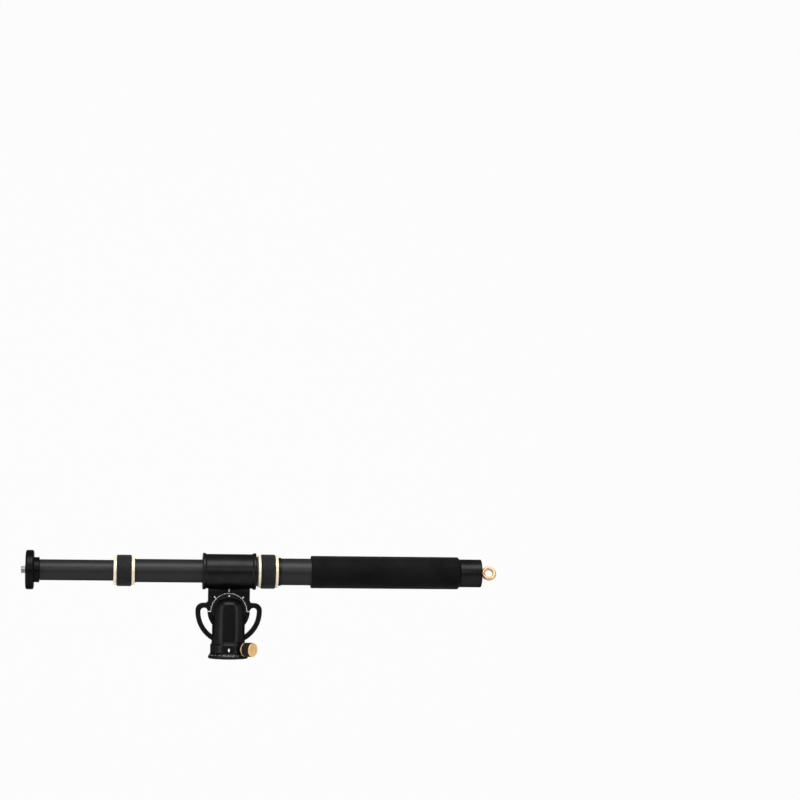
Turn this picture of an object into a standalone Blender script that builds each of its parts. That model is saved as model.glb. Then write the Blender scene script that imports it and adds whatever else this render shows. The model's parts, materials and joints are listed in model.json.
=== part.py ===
# Tripod extension arm: a telescopic boom on a tilting, panning head.
# Metres, +Z up. The origin is the centre of the pan base's bottom face, on the pan axis.
# The boom lies along X, with the camera flange at -X and the grip at +X. The front of the head faces -Y.
# Lengths below are in millimetres and are turned into metres by MM.
from math import acos, atan2, cos, degrees, pi, radians, sin, sqrt

import bmesh
import bpy
from mathutils import Vector

MM = 0.001

# Clearances
GAP = 0.3
SLIDING_GAP = 0.5
WASHER_GAP = 0.3

# Facets of round pieces
LARGE_FACETS = 28
MEDIUM_FACETS = 24
SMALL_FACETS = 16
TOWER_FACETS = 30

# How far cutters reach past the part, and how far they start outside it
CUTTER_REACH = 32.0
OVERSHOOT = 2.0

# Places of the main axes
PIVOT_HEIGHT = 56.5
BOOM_ABOVE_PIVOT = 48.3
LOCK_KNOB_HEIGHT = 11.8
LOCK_KNOB_ANGLE = 49.0

# Pan base
BASE_RADIUS = 24.2
BASE_FOOT_HEIGHT = 3.0
BASE_HEIGHT = 6.8
POST_RADIUS = 14.0
POST_HEIGHT = 14.1
GROOVE_DEPTH = 2.0
GROOVE_HALF_WIDTH = 2.2
THREAD_RADIUS = 4.15
INSERT_RADIUS = 7.0
INSERT_LENGTH = 11.7
PAN_WASHER_THICKNESS = 0.6
PAN_WASHER_WIDTH = 4.4

# Tower
BODY_RADIUS = 21.7
BODY_TOP = 16.6
TOWER_RADIUS = 20.3
TOWER_STEP = 1.6
ARCH_STEP = 0.3
CHEEK_PLATE_REACH = 9.0
CHEEK_DROP = 2.0
CHEEK_CHAMFER = 5.0
CHEEK_CHAMFER_HEIGHT = 8.0
DOME_START = 6.9
DOME_RISE = 11.0
DOME_FLAT = 0.7
RECESS_WIDTH = 14.5
RECESS_ARCH_CENTRE = 1.8
RECESS_BOTTOM = 19.4
RECESS_FLOOR = 18.0
BLIND_WALL = 3.6
REAR_SEAT_DEPTH = 1.8

# Tilt bracket
PLATE_THICKNESS = 7.0
PLATE_RADIUS = 40.1
SLOT_INNER_RADIUS = 25.5
SLOT_OUTER_RADIUS = 34.1
SHOULDER_HEIGHT = 10.2
SHOULDER_CORNER = 9.0
NECK_WIDTH = 50.5
NECK_FILLET = 3.3
FLARE_RADIUS = 6.0
FLARE_OVERLAP = 0.15
FLARE_ROOT = 0.8
FLARE_END_INSET = 1.3
PLATE_BEVEL = 0.7
SLEEVE_LENGTH = 64.4
SLEEVE_RADIUS = 20.85
SLEEVE_BORE = 17.0
LIP_RADIUS = 22.15
LIP_WIDTH = 3.0
LIP_SLOPE = 2.0
LIP_EDGE = 0.7
SLEEVE_BUSH_LENGTH = 15.0

# Tilt pivot and clamp
PIVOT_PIN_RADIUS = 5.0
PIVOT_BUSH_WALL = 1.7
PIVOT_HEAD_RADIUS = 7.3
PIVOT_HEAD_HEIGHT = 5.0
FRICTION_WASHER_RADIUS = 16.0
FRICTION_WASHER_THICKNESS = 0.8
CLAMP_SHOULDER_RADIUS = 6.0
CLAMP_WASHER_RADIUS = 8.3
CLAMP_WASHER_THICKNESS = 2.0
CLAMP_TRAVEL = 1.25
CLAMP_SPIGOT_RADIUS = 3.4
CLAMP_SPIGOT_LENGTH = 9.5
HANDLE_STANDOFF = 1.2
HANDLE_STEM_RADIUS = 6.0
HANDLE_STEM_LENGTH = 12.0
HANDLE_SPAN = 34.0
HANDLE_BAR_HEIGHT = 9.0
HANDLE_BAR_WIDTH = 9.0
HANDLE_WING_RISE = 1.6

# Pan lock knob
LOCK_SCREW_RADIUS = 3.0
LOCK_FLANGE_START = 25.0
LOCK_FLANGE_RADIUS = 8.2
LOCK_FLANGE_THICKNESS = 1.4
LOCK_GRIP_LENGTH = 10.0
LOCK_GRIP_RADIUS = 8.75
LOCK_GRIP_WALL = 2.3
LOCK_GRIP_TEETH = 16
LOCK_GRIP_FLUTE = 0.6
LOCK_CAP_RADIUS = 8.5
LOCK_CAP_THICKNESS = 1.5
BRAKE_PAD_RADIUS = 2.5
BRAKE_PAD_LENGTH = 4.6
GRUB_RADIUS = 2.2
GRUB_INSET = 1.2
GRUB_SOCKET_DEPTH = 1.8
TIP_RADIUS = 0.7
TIP_LENGTH = 2.2
TIP_DEPTH = 1.4
SPOT_FACE_INSET = 1.5

# Boom tubes
FRONT_TUBE_RADIUS = 12.5
FRONT_TUBE_WALL = 1.5
FRONT_TUBE_LENGTH = 300.0
FRONT_TUBE_EXPOSED = 88.2
MID_TUBE_RADIUS = 14.0
MID_TUBE_WALL = 1.0
MID_TUBE_EXPOSED = 80.7
MID_TUBE_CLEARANCE = 15.0
REAR_TUBE_RADIUS = 16.2
REAR_TUBE_WALL = 1.5
REAR_TUBE_EXPOSED = 36.6
GUIDE_WALL = 1.6
GUIDE_SPIGOT_LENGTH = 8.0
GUIDE_RIM_LENGTH = 3.0

# Twist locks
FRONT_LOCK_LENGTH = 25.3
FRONT_LOCK_RADIUS = 17.5
FRONT_BAND_RADIUS = 18.9
FRONT_BAND_LENGTH = 17.9
FRONT_SKIRT_LENGTH = 0.9
REAR_LOCK_LENGTH = 24.2
REAR_LOCK_RADIUS = 19.6
REAR_BAND_RADIUS = 20.75
REAR_BAND_LENGTH = 17.6
REAR_SKIRT_LENGTH = 3.7
REAR_NOSE_LENGTH = 1.7
REAR_NOSE_RADIUS = 17.8
COLLAR_WALL = 0.9
FERRULE_WALL = 0.6
FERRULE_THREAD_WALL = 1.5
FERRULE_COVER = 12.7
COLLAR_LIP_THICKNESS = 2.0
COLLAR_MOUTH_GAP = 0.9
COLLAR_EDGE = 0.9
BAND_EDGE = 0.9
COLLET_SLOTS = 3
COLLET_SLOT_WIDTH = 1.2
COLLET_TAPER = 1.3

# Camera flange
FLANGE_RADIUS = 23.65
FLANGE_THICKNESS = 9.8
FLANGE_EDGE = 2.2
HUB_RADIUS = 15.1
HUB_LENGTH = 6.5
PLUG_LENGTH = 16.0
STUD_RADIUS = 4.75
STUD_PROUD = 5.8
STUD_DEPTH = 14.5

# Grip, end cap and eye
GRIP_LENGTH = 182.3
GRIP_RADIUS = 19.7
GRIP_TAPER_LENGTH = 2.6
GRIP_TAPER_DEPTH = 2.7
CAP_LENGTH = 26.1
CAP_RADIUS = 17.0
CAP_DOME = 1.0
CAP_RIM_RADIUS = 10.2
CAP_RECESS_DEPTH = 0.8
CAP_SPIGOT_LENGTH = 12.5
CAP_CORE_RADIUS = 7.0
CAP_WALL = 10.0
EYE_RING_RADIUS = 6.9
EYE_WIRE_RADIUS = 2.4
EYE_STANDOFF = 0.8
EYE_TURN = 28.0
EYE_SHANK_RADIUS = 3.0
EYE_GROOVE_DEPTH = 0.9
CLIP_RADIUS = 5.2
CLIP_THICKNESS = 0.8

# Values worked out from the ones above
BOOM_HEIGHT = PIVOT_HEIGHT + BOOM_ABOVE_PIVOT
TOWER_BOTTOM = BASE_HEIGHT + 0.4
ARCH_RADIUS = TOWER_RADIUS + ARCH_STEP
SLOT_HALF_WIDTH = PLATE_THICKNESS / 2 + FRICTION_WASHER_THICKNESS + 2 * WASHER_GAP
SLOT_CUT_RADIUS = PLATE_RADIUS + SLIDING_GAP
CLAMP_RADIUS_FROM_PIVOT = (SLOT_INNER_RADIUS + SLOT_OUTER_RADIUS) / 2
CLAMP_SHANK_RADIUS = (SLOT_OUTER_RADIUS - SLOT_INNER_RADIUS) / 2 - GAP
CLAMP_HEIGHT = PIVOT_HEIGHT - CLAMP_RADIUS_FROM_PIVOT
POST_BORE = INSERT_RADIUS + GAP
SLEEVE_END = SLEEVE_LENGTH / 2
FRONT_SKIRT_END = -SLEEVE_END - MID_TUBE_EXPOSED
FRONT_COLLAR_RIGHT = FRONT_SKIRT_END - FRONT_SKIRT_LENGTH
FRONT_COLLAR_LEFT = FRONT_COLLAR_RIGHT - FRONT_LOCK_LENGTH
HUB_END = FRONT_COLLAR_LEFT - FRONT_TUBE_EXPOSED
FLANGE_BACK = HUB_END - HUB_LENGTH
FLANGE_FACE = FLANGE_BACK - FLANGE_THICKNESS
NOSE_START = SLEEVE_END + GAP
REAR_COLLAR_LEFT = NOSE_START + REAR_NOSE_LENGTH + GAP
REAR_COLLAR_RIGHT = REAR_COLLAR_LEFT + REAR_LOCK_LENGTH
REAR_SKIRT_END = REAR_COLLAR_RIGHT + REAR_SKIRT_LENGTH
GRIP_START = REAR_SKIRT_END + REAR_TUBE_EXPOSED
GRIP_END = GRIP_START + GRIP_LENGTH
FRONT_FERRULE_START = FRONT_COLLAR_RIGHT - FERRULE_COVER
REAR_FERRULE_START = REAR_COLLAR_RIGHT - FERRULE_COVER
CAP_START = GRIP_END + GAP
MID_TUBE_END = CAP_START - CAP_SPIGOT_LENGTH - MID_TUBE_CLEARANCE
CAP_EDGE = CAP_START + CAP_LENGTH
CAP_END = CAP_EDGE + CAP_DOME
CAP_RECESS_FLOOR = CAP_END - CAP_RECESS_DEPTH
CAP_WALL_START = CAP_RECESS_FLOOR - CAP_WALL


def clear_scene():
    for thing in list(bpy.data.objects):
        bpy.data.objects.remove(thing)


def make_material(name, colour, roughness, metallic):
    material = bpy.data.materials.new(name)
    material.use_nodes = True
    shader = material.node_tree.nodes["Principled BSDF"]
    shader.inputs["Base Color"].default_value = (*colour, 1.0)
    shader.inputs["Roughness"].default_value = roughness
    shader.inputs["Metallic"].default_value = metallic
    material.diffuse_color = (*colour, 1.0)
    return material


def make_frame(name, place, along, parent=None):
    """An empty at place (mm, in its parent's frame) whose local Z points along the given direction."""
    frame = bpy.data.objects.new(name, None)
    bpy.context.scene.collection.objects.link(frame)
    frame.location = Vector(place) * MM
    frame.rotation_euler = Vector((0, 0, 1)).rotation_difference(Vector(along)).to_euler()
    frame.parent = parent
    return frame


def add_piece(name, shape, parent, material):
    mesh = bpy.data.meshes.new(name)
    bmesh.ops.recalc_face_normals(shape, faces=shape.faces)
    shape.to_mesh(mesh)
    shape.free()
    mesh.materials.append(material)
    mesh.shade_smooth()
    mesh.set_sharp_from_angle(angle=radians(32.0))
    piece = bpy.data.objects.new(name, mesh)
    bpy.context.scene.collection.objects.link(piece)
    piece.parent = parent
    return piece


def turned(name, profile, parent, material, facets=LARGE_FACETS):
    """A closed (radius, height) outline in millimetres, spun about its parent's Z axis."""
    shape = bmesh.new()
    rim = [shape.verts.new((radius * MM, 0.0, height * MM)) for radius, height in profile]
    edges = []
    for i in range(len(rim)):
        if profile[i - 1][0] > 0.0 or profile[i][0] > 0.0:
            edges.append(shape.edges.new((rim[i - 1], rim[i])))
    bmesh.ops.spin(
        shape, geom=rim + edges, cent=(0, 0, 0), axis=(0, 0, 1), angle=2 * pi, steps=facets, use_merge=True
    )
    bmesh.ops.remove_doubles(shape, verts=shape.verts, dist=0.00001)
    return add_piece(name, shape, parent, material)


def ring(name, inner, outer, start, end, parent, material, facets=LARGE_FACETS):
    profile = [(inner, start), (outer, start), (outer, end), (inner, end)]
    return turned(name, profile, parent, material, facets)


def rod(name, radius, start, end, parent, material, facets=SMALL_FACETS):
    profile = [(0.0, start), (radius, start), (radius, end), (0.0, end)]
    return turned(name, profile, parent, material, facets)


def stepped_cutter(name, steps, parent, material, facets):
    """A cutter that leaves the part outwards and has the radius of each (radius, start) step in turn."""
    profile = [(0.0, steps[0][1])]
    for i, (radius, start) in enumerate(steps):
        end = steps[i + 1][1] if i + 1 < len(steps) else CUTTER_REACH
        profile += [(radius, start), (radius, end)]
    profile.append((0.0, CUTTER_REACH))
    return turned(name, profile, parent, material, facets)


def extruded(name, outline, start, end, plane, parent, material):
    """A closed outline in millimetres, extruded from start to end across the named plane."""
    place = {
        "XZ": lambda a, b, depth: (a, depth, b),
        "YZ": lambda a, b, depth: (depth, a, b),
        "XY": lambda a, b, depth: (a, b, depth),
    }[plane]
    shape = bmesh.new()
    face = shape.faces.new([shape.verts.new(Vector(place(a, b, start)) * MM) for a, b in outline])
    grown = bmesh.ops.extrude_face_region(shape, geom=[face])
    moved = [item for item in grown["geom"] if isinstance(item, bmesh.types.BMVert)]
    bmesh.ops.translate(shape, verts=moved, vec=Vector(place(0.0, 0.0, end - start)) * MM)
    return add_piece(name, shape, parent, material)


def fluted_ring(name, inner, outer, depth, teeth, start, end, parent, material):
    """A ring whose outer side has straight teeth along its axis."""
    shape = bmesh.new()
    count = 4 * teeth
    loops = []
    for height in (start, end):
        outside = []
        inside = []
        for i in range(count):
            angle = 2 * pi * i / count
            radius = outer if i % 4 in (0, 1) else outer - depth
            outside.append(shape.verts.new((radius * cos(angle) * MM, radius * sin(angle) * MM, height * MM)))
            inside.append(shape.verts.new((inner * cos(angle) * MM, inner * sin(angle) * MM, height * MM)))
        loops.append((outside, inside))
    (low_out, low_in), (high_out, high_in) = loops
    for i in range(count):
        shape.faces.new((low_out[i - 1], low_out[i], high_out[i], high_out[i - 1]))
        shape.faces.new((low_in[i], low_in[i - 1], high_in[i - 1], high_in[i]))
        shape.faces.new((low_out[i], low_out[i - 1], low_in[i - 1], low_in[i]))
        shape.faces.new((high_out[i - 1], high_out[i], high_in[i], high_in[i - 1]))
    return add_piece(name, shape, parent, material)


def arc(centre, radius, start, end, steps):
    """Points on a circle from the start angle to the end angle, in degrees."""
    points = []
    for i in range(steps + 1):
        angle = radians(start + (end - start) * i / steps)
        points.append((centre[0] + radius * cos(angle), centre[1] + radius * sin(angle)))
    return points


def combine(piece, other, operation):
    modifier = piece.modifiers.new(other.name, "BOOLEAN")
    modifier.operation = operation
    modifier.solver = "EXACT"
    modifier.object = other
    other.hide_render = True
    other.display_type = "WIRE"


def cut(piece, cutter):
    combine(piece, cutter, "DIFFERENCE")


def join(piece, other):
    combine(piece, other, "UNION")


def round_edges(piece, width, segments=1, angle=40.0):
    modifier = piece.modifiers.new("edges", "BEVEL")
    modifier.width = width * MM
    modifier.segments = segments
    modifier.limit_method = "ANGLE"
    modifier.angle_limit = radians(angle)


def circle(radius, sides):
    return [(radius * cos(2 * pi * i / sides), radius * sin(2 * pi * i / sides)) for i in range(sides)]


def hex_outline(across_flats):
    return circle(across_flats / sqrt(3.0), 6)


def make_pan_base(base, black):
    profile = [
        (0.0, INSERT_LENGTH + 2 * GAP),
        (POST_BORE, INSERT_LENGTH + 2 * GAP),
        (POST_BORE, 0.0),
        (BASE_RADIUS - 0.5, 0.0),
        (BASE_RADIUS, 0.7),
        (BASE_RADIUS - 0.3, BASE_FOOT_HEIGHT),
        (BODY_RADIUS + 0.5, BASE_HEIGHT - 1.2),
        (BODY_RADIUS, BASE_HEIGHT),
        (POST_RADIUS + PAN_WASHER_WIDTH + 4 * GAP, BASE_HEIGHT),
        (POST_RADIUS + PAN_WASHER_WIDTH + 4 * GAP, BASE_HEIGHT - PAN_WASHER_THICKNESS - GAP),
        (POST_RADIUS, BASE_HEIGHT - PAN_WASHER_THICKNESS - GAP),
        (POST_RADIUS, LOCK_KNOB_HEIGHT - GROOVE_HALF_WIDTH),
        (POST_RADIUS - GROOVE_DEPTH, LOCK_KNOB_HEIGHT - 0.6),
        (POST_RADIUS - GROOVE_DEPTH, LOCK_KNOB_HEIGHT + 0.6),
        (POST_RADIUS - 0.2, POST_HEIGHT - 0.4),
        (POST_RADIUS - 0.6, POST_HEIGHT),
        (0.0, POST_HEIGHT),
    ]
    turned("pan_base", profile, base, black)


def make_thread_insert(base, steel):
    start = GAP
    end = GAP + INSERT_LENGTH
    insert = ring("thread_insert", THREAD_RADIUS, INSERT_RADIUS, start, end, base, steel, MEDIUM_FACETS)
    half_length = INSERT_RADIUS + 1.0
    outline = [(-half_length, -0.8), (half_length, -0.8), (half_length, 0.8), (-half_length, 0.8)]
    slot = extruded("insert_driver_slot", outline, start - 1.0, start + 1.4, "XY", base, steel)
    cut(insert, slot)


def make_pan_washer(base, plastic):
    inner = POST_RADIUS + 2 * GAP
    start = BASE_HEIGHT - PAN_WASHER_THICKNESS
    ring("pan_washer", inner, inner + PAN_WASHER_WIDTH, start, BASE_HEIGHT, base, plastic, MEDIUM_FACETS)


def lofted(name, rings, parent, material, facets):
    """A closed solid through (half width, half depth, height) ellipses about its parent's Z axis."""
    shape = bmesh.new()
    loops = []
    for width, depth, height in rings:
        loop = []
        for i in range(facets):
            angle = 2 * pi * i / facets
            loop.append(shape.verts.new(Vector((width * cos(angle), depth * sin(angle), height)) * MM))
        loops.append(loop)
    for low, high in zip(loops, loops[1:]):
        for i in range(facets):
            shape.faces.new((low[i - 1], low[i], high[i], high[i - 1]))
    shape.faces.new(loops[0])
    shape.faces.new(loops[-1])
    return add_piece(name, shape, parent, material)


def tower_rings():
    """Lower body, step, straight part, then rings that narrow with the arch in width and a dome in depth."""
    rings = [
        (BODY_RADIUS, BODY_RADIUS, TOWER_BOTTOM),
        (BODY_RADIUS, BODY_RADIUS, BODY_TOP),
        (TOWER_RADIUS, TOWER_RADIUS, BODY_TOP + TOWER_STEP),
    ]
    steps = 7
    top = DOME_START + DOME_RISE - DOME_FLAT
    for i in range(steps + 1):
        up = top * sin(radians(90.0 * i / steps))
        width = sqrt((ARCH_RADIUS - ARCH_STEP) ** 2 - up**2)
        depth = TOWER_RADIUS
        if up > DOME_START:
            depth = TOWER_RADIUS * sqrt(1.0 - ((up - DOME_START) / DOME_RISE) ** 2)
        rings.append((width, depth, PIVOT_HEIGHT + up))
    return rings


def cheek_outline():
    """Arch over the pivot with straight sides just below it, and a chamfer back into the round body."""
    inner = ARCH_RADIUS - CHEEK_CHAMFER
    bottom = -CHEEK_DROP - CHEEK_CHAMFER_HEIGHT
    lower = [(ARCH_RADIUS, -CHEEK_DROP), (inner, bottom), (-inner, bottom), (-ARCH_RADIUS, -CHEEK_DROP)]
    return arc((0.0, 0.0), ARCH_RADIUS, 180.0, 0.0, 20) + lower


def make_tower(pan, tilt, clamp, lock, grub, black):
    tower = lofted("tower", tower_rings(), pan, black, TOWER_FACETS)
    cheeks = extruded("cheeks", cheek_outline(), -CHEEK_PLATE_REACH, CHEEK_PLATE_REACH, "XZ", tilt, black)
    join(tower, cheeks)
    bore_start = TOWER_BOTTOM - OVERSHOOT
    bore_end = POST_HEIGHT + GAP
    cut(tower, rod("post_bore", POST_RADIUS + GAP, bore_start, bore_end, pan, black, LARGE_FACETS))

    slot_circle = circle(SLOT_CUT_RADIUS, 36)
    cut(tower, extruded("plate_slot", slot_circle, -SLOT_HALF_WIDTH, SLOT_HALF_WIDTH, "XZ", tilt, black))

    half = RECESS_WIDTH / 2
    bottom = RECESS_BOTTOM - PIVOT_HEIGHT
    recess_outline = [(-half, bottom), (half, bottom)]
    recess_outline += arc((0.0, RECESS_ARCH_CENTRE), half, 0.0, 180.0, 12)
    cut(tower, extruded("recess", recess_outline, -CUTTER_REACH, -RECESS_FLOOR, "XZ", tilt, black))

    blind = BLIND_WALL - RECESS_FLOOR
    head_seat = TOWER_RADIUS - REAR_SEAT_DEPTH - PIVOT_HEAD_HEIGHT
    washer_end = PLATE_THICKNESS / 2 + GAP + CLAMP_WASHER_THICKNESS + CLAMP_TRAVEL + GAP
    shank = CLAMP_SHANK_RADIUS + GAP
    pivot_steps = [(PIVOT_PIN_RADIUS + GAP, blind), (PIVOT_HEAD_RADIUS + GAP, head_seat)]
    shoulder = CLAMP_SHOULDER_RADIUS + GAP
    clamp_steps = [(shank, blind), (CLAMP_WASHER_RADIUS + GAP, 0.0), (shoulder, washer_end)]
    spot_face = LOCK_FLANGE_RADIUS - SPOT_FACE_INSET
    lock_steps = [(LOCK_SCREW_RADIUS + GAP, POST_RADIUS - 1.0), (spot_face, BODY_RADIUS - 1.0)]
    cut(tower, stepped_cutter("pivot_bore", pivot_steps, tilt_side(tilt), black, MEDIUM_FACETS))
    cut(tower, stepped_cutter("clamp_bore", clamp_steps, clamp, black, MEDIUM_FACETS))
    cut(tower, stepped_cutter("lock_bore", lock_steps, lock, black, SMALL_FACETS))
    cut(tower, stepped_cutter("grub_bore", [(GRUB_RADIUS + GAP, POST_RADIUS - 1.0)], grub, black, 12))


def tilt_side(tilt):
    """A frame at the pivot whose local Z points to the rear of the head, along the tilt axis."""
    return make_frame("pivot_line", (0, 0, 0), (0, 1, 0), tilt)


def make_pivot(tilt, boom_tilt, steel, bronze, plastic):
    line = tilt_side(tilt)
    seat = TOWER_RADIUS - REAR_SEAT_DEPTH - PIVOT_HEAD_HEIGHT + GAP
    profile = [
        (0.0, BLIND_WALL - RECESS_FLOOR + GAP),
        (PIVOT_PIN_RADIUS, BLIND_WALL - RECESS_FLOOR + GAP),
        (PIVOT_PIN_RADIUS, seat),
        (PIVOT_HEAD_RADIUS, seat),
        (PIVOT_HEAD_RADIUS, seat + PIVOT_HEAD_HEIGHT - 0.6),
        (PIVOT_HEAD_RADIUS - 0.6, seat + PIVOT_HEAD_HEIGHT),
        (0.0, seat + PIVOT_HEAD_HEIGHT),
    ]
    bolt = turned("pivot_bolt", profile, line, steel, SMALL_FACETS)
    socket = extruded(
        "pivot_socket", hex_outline(6.0), seat + PIVOT_HEAD_HEIGHT - 3.0, seat + PIVOT_HEAD_HEIGHT + 2.0,
        "XY", line, steel,
    )
    cut(bolt, socket)

    near = PLATE_THICKNESS / 2 + WASHER_GAP
    far = near + FRICTION_WASHER_THICKNESS
    inner = PIVOT_PIN_RADIUS + GAP + PIVOT_BUSH_WALL
    ring("friction_washer_rear", inner, FRICTION_WASHER_RADIUS, near, far, line, plastic, MEDIUM_FACETS)
    ring("friction_washer_front", inner, FRICTION_WASHER_RADIUS, -far, -near, line, plastic, MEDIUM_FACETS)

    half = PLATE_THICKNESS / 2
    bush_line = tilt_side(boom_tilt)
    outer = PIVOT_PIN_RADIUS + GAP + PIVOT_BUSH_WALL
    ring("pivot_bush", PIVOT_PIN_RADIUS + GAP, outer, -half, half, bush_line, bronze, SMALL_FACETS)


def make_clamp(clamp, steel, gold):
    """Clamp bolt with its shoulder, pressure washer and T-handle, on the clamp's axis towards the rear."""
    blind = BLIND_WALL - RECESS_FLOOR
    washer_start = PLATE_THICKNESS / 2 + GAP
    washer_end = washer_start + CLAMP_WASHER_THICKNESS
    handle_start = TOWER_RADIUS + HANDLE_STANDOFF
    spigot_end = handle_start + CLAMP_SPIGOT_LENGTH
    profile = [
        (0.0, blind + 2 * GAP),
        (CLAMP_SHANK_RADIUS, blind + 2 * GAP),
        (CLAMP_SHANK_RADIUS, washer_end + GAP),
        (CLAMP_SHOULDER_RADIUS, washer_end + GAP),
        (CLAMP_SHOULDER_RADIUS, handle_start - GAP),
        (CLAMP_SPIGOT_RADIUS, handle_start - GAP),
        (CLAMP_SPIGOT_RADIUS, spigot_end),
        (0.0, spigot_end),
    ]
    turned("clamp_bolt", profile, clamp, steel, SMALL_FACETS)
    bore = CLAMP_SHANK_RADIUS + GAP
    ring("clamp_washer", bore, CLAMP_WASHER_RADIUS, washer_start, washer_end, clamp, steel, MEDIUM_FACETS)

    bar_start = handle_start + HANDLE_STEM_LENGTH
    stem_profile = [
        (0.0, handle_start),
        (HANDLE_STEM_RADIUS, handle_start),
        (HANDLE_STEM_RADIUS, handle_start + 2.0),
        (HANDLE_STEM_RADIUS - 1.0, handle_start + 4.0),
        (HANDLE_STEM_RADIUS - 1.0, bar_start - 4.0),
        (HANDLE_BAR_WIDTH / 2 - 0.4, bar_start + 0.5),
        (HANDLE_BAR_WIDTH / 2 - 0.4, bar_start + 3.0),
        (0.0, bar_start + 3.0),
    ]
    half = HANDLE_SPAN / 2
    rise = HANDLE_WING_RISE
    top = bar_start + HANDLE_BAR_HEIGHT
    wing_outline = [
        (-5.0, bar_start - 1.2),
        (5.0, bar_start - 1.2),
        (half, bar_start + rise),
        (half + 1.0, top + rise - 1.5),
        (half - 1.0, top + rise),
        (0.0, top - 1.0),
        (-half + 1.0, top + rise),
        (-half - 1.0, top + rise - 1.5),
        (-half, bar_start + rise),
    ]
    width = HANDLE_BAR_WIDTH / 2
    level = make_frame("handle_level", (0, 0, 0), (0, 0, 1), clamp.parent)
    level.location = clamp.location
    handle = extruded("tilt_handle", wing_outline, -width, width, "XY", level, gold)
    round_edges(handle, 1.1, 2, 30.0)
    stem = turned("handle_stem", stem_profile, clamp, gold, SMALL_FACETS)
    join(handle, stem)
    bore = CLAMP_SPIGOT_RADIUS + GAP
    cut(handle, rod("handle_bore", bore, handle_start - OVERSHOOT, spigot_end + GAP, clamp, gold))


def make_pan_lock(lock, grub, steel, gold, rubber, brass):
    """Knob, screw and brake pad on the lock's axis, counted from the pan axis outwards."""
    pad_start = POST_RADIUS - TIP_DEPTH
    profile = [
        (0.0, pad_start),
        (TIP_RADIUS, pad_start),
        (BRAKE_PAD_RADIUS, pad_start + TIP_LENGTH),
        (BRAKE_PAD_RADIUS, pad_start + BRAKE_PAD_LENGTH),
        (0.0, pad_start + BRAKE_PAD_LENGTH),
    ]
    turned("brake_pad", profile, lock, brass, 12)

    flange_end = LOCK_FLANGE_START + LOCK_FLANGE_THICKNESS
    cap_start = flange_end + LOCK_GRIP_LENGTH + 2 * GAP
    cap_end = cap_start + LOCK_CAP_THICKNESS
    screw_start = pad_start + BRAKE_PAD_LENGTH + GAP
    screw_end = cap_start - 4.0
    rod("pan_lock_screw", LOCK_SCREW_RADIUS, screw_start, screw_end, lock, steel, 16)

    seat = LOCK_GRIP_RADIUS - LOCK_GRIP_WALL - GAP
    knob_profile = [
        (LOCK_SCREW_RADIUS + GAP, LOCK_FLANGE_START),
        (LOCK_FLANGE_RADIUS - 0.5, LOCK_FLANGE_START),
        (LOCK_FLANGE_RADIUS, LOCK_FLANGE_START + 0.5),
        (LOCK_FLANGE_RADIUS, flange_end),
        (seat, flange_end),
        (seat, cap_start),
        (LOCK_CAP_RADIUS, cap_start),
        (LOCK_CAP_RADIUS, cap_end - 0.5),
        (LOCK_CAP_RADIUS - 0.5, cap_end),
        (0.0, cap_end),
        (0.0, screw_end + GAP),
        (LOCK_SCREW_RADIUS + GAP, screw_end + GAP),
    ]
    turned("pan_lock_knob", knob_profile, lock, gold, 24)
    grip_start = flange_end + GAP
    grip_end = cap_start - GAP
    fluted_ring(
        "pan_lock_grip", seat + GAP, LOCK_GRIP_RADIUS, LOCK_GRIP_FLUTE, LOCK_GRIP_TEETH, grip_start, grip_end,
        lock, rubber,
    )

    grub_end = BODY_RADIUS - GRUB_INSET
    grub_profile = [
        (0.0, pad_start),
        (TIP_RADIUS, pad_start),
        (GRUB_RADIUS, pad_start + TIP_LENGTH),
        (GRUB_RADIUS, grub_end),
        (0.0, grub_end),
    ]
    screw = turned("retaining_screw", grub_profile, grub, steel, 12)
    socket_start = grub_end - GRUB_SOCKET_DEPTH
    socket_end = grub_end + OVERSHOOT
    cut(screw, extruded("grub_socket", hex_outline(GRUB_RADIUS), socket_start, socket_end, "XY", grub, steel))


def plate_outline():
    """Neck, concave fillets, rounded shoulders and the plate's round lower edge, about the pivot."""
    half_neck = NECK_WIDTH / 2
    neck_top = BOOM_ABOVE_PIVOT - (SLEEVE_RADIUS + SLEEVE_BORE) / 2
    corner_height = SHOULDER_HEIGHT - SHOULDER_CORNER
    corner_reach = sqrt((PLATE_RADIUS - SHOULDER_CORNER) ** 2 - corner_height**2)
    rise = degrees(atan2(corner_height, corner_reach))
    fillet_height = SHOULDER_HEIGHT + NECK_FILLET
    outline = [(-half_neck, neck_top)]
    outline += arc((-half_neck - NECK_FILLET, fillet_height), NECK_FILLET, 0.0, -90.0, 3)
    outline += arc((-corner_reach, corner_height), SHOULDER_CORNER, 90.0, 180.0 - rise, 4)
    outline += arc((0.0, 0.0), PLATE_RADIUS, 180.0 - rise, 360.0 + rise, 28)[1:-1]
    outline += arc((corner_reach, corner_height), SHOULDER_CORNER, rise, 90.0, 4)
    outline += arc((half_neck + NECK_FILLET, fillet_height), NECK_FILLET, 270.0, 180.0, 3)
    outline += [(half_neck, neck_top)]
    return outline


def slot_outline():
    """The U-shaped arc slot: the clamp bolt meets its round ends when the boom stands upright."""
    end_radius = (SLOT_OUTER_RADIUS - SLOT_INNER_RADIUS) / 2
    outline = arc((0.0, 0.0), SLOT_OUTER_RADIUS, 180.0, 360.0, 20)
    outline += arc((CLAMP_RADIUS_FROM_PIVOT, 0.0), end_radius, 0.0, 180.0, 6)[1:]
    outline += arc((0.0, 0.0), SLOT_INNER_RADIUS, 360.0, 180.0, 18)[1:]
    outline += arc((-CLAMP_RADIUS_FROM_PIVOT, 0.0), end_radius, 0.0, 180.0, 6)[1:-1]
    return outline


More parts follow.
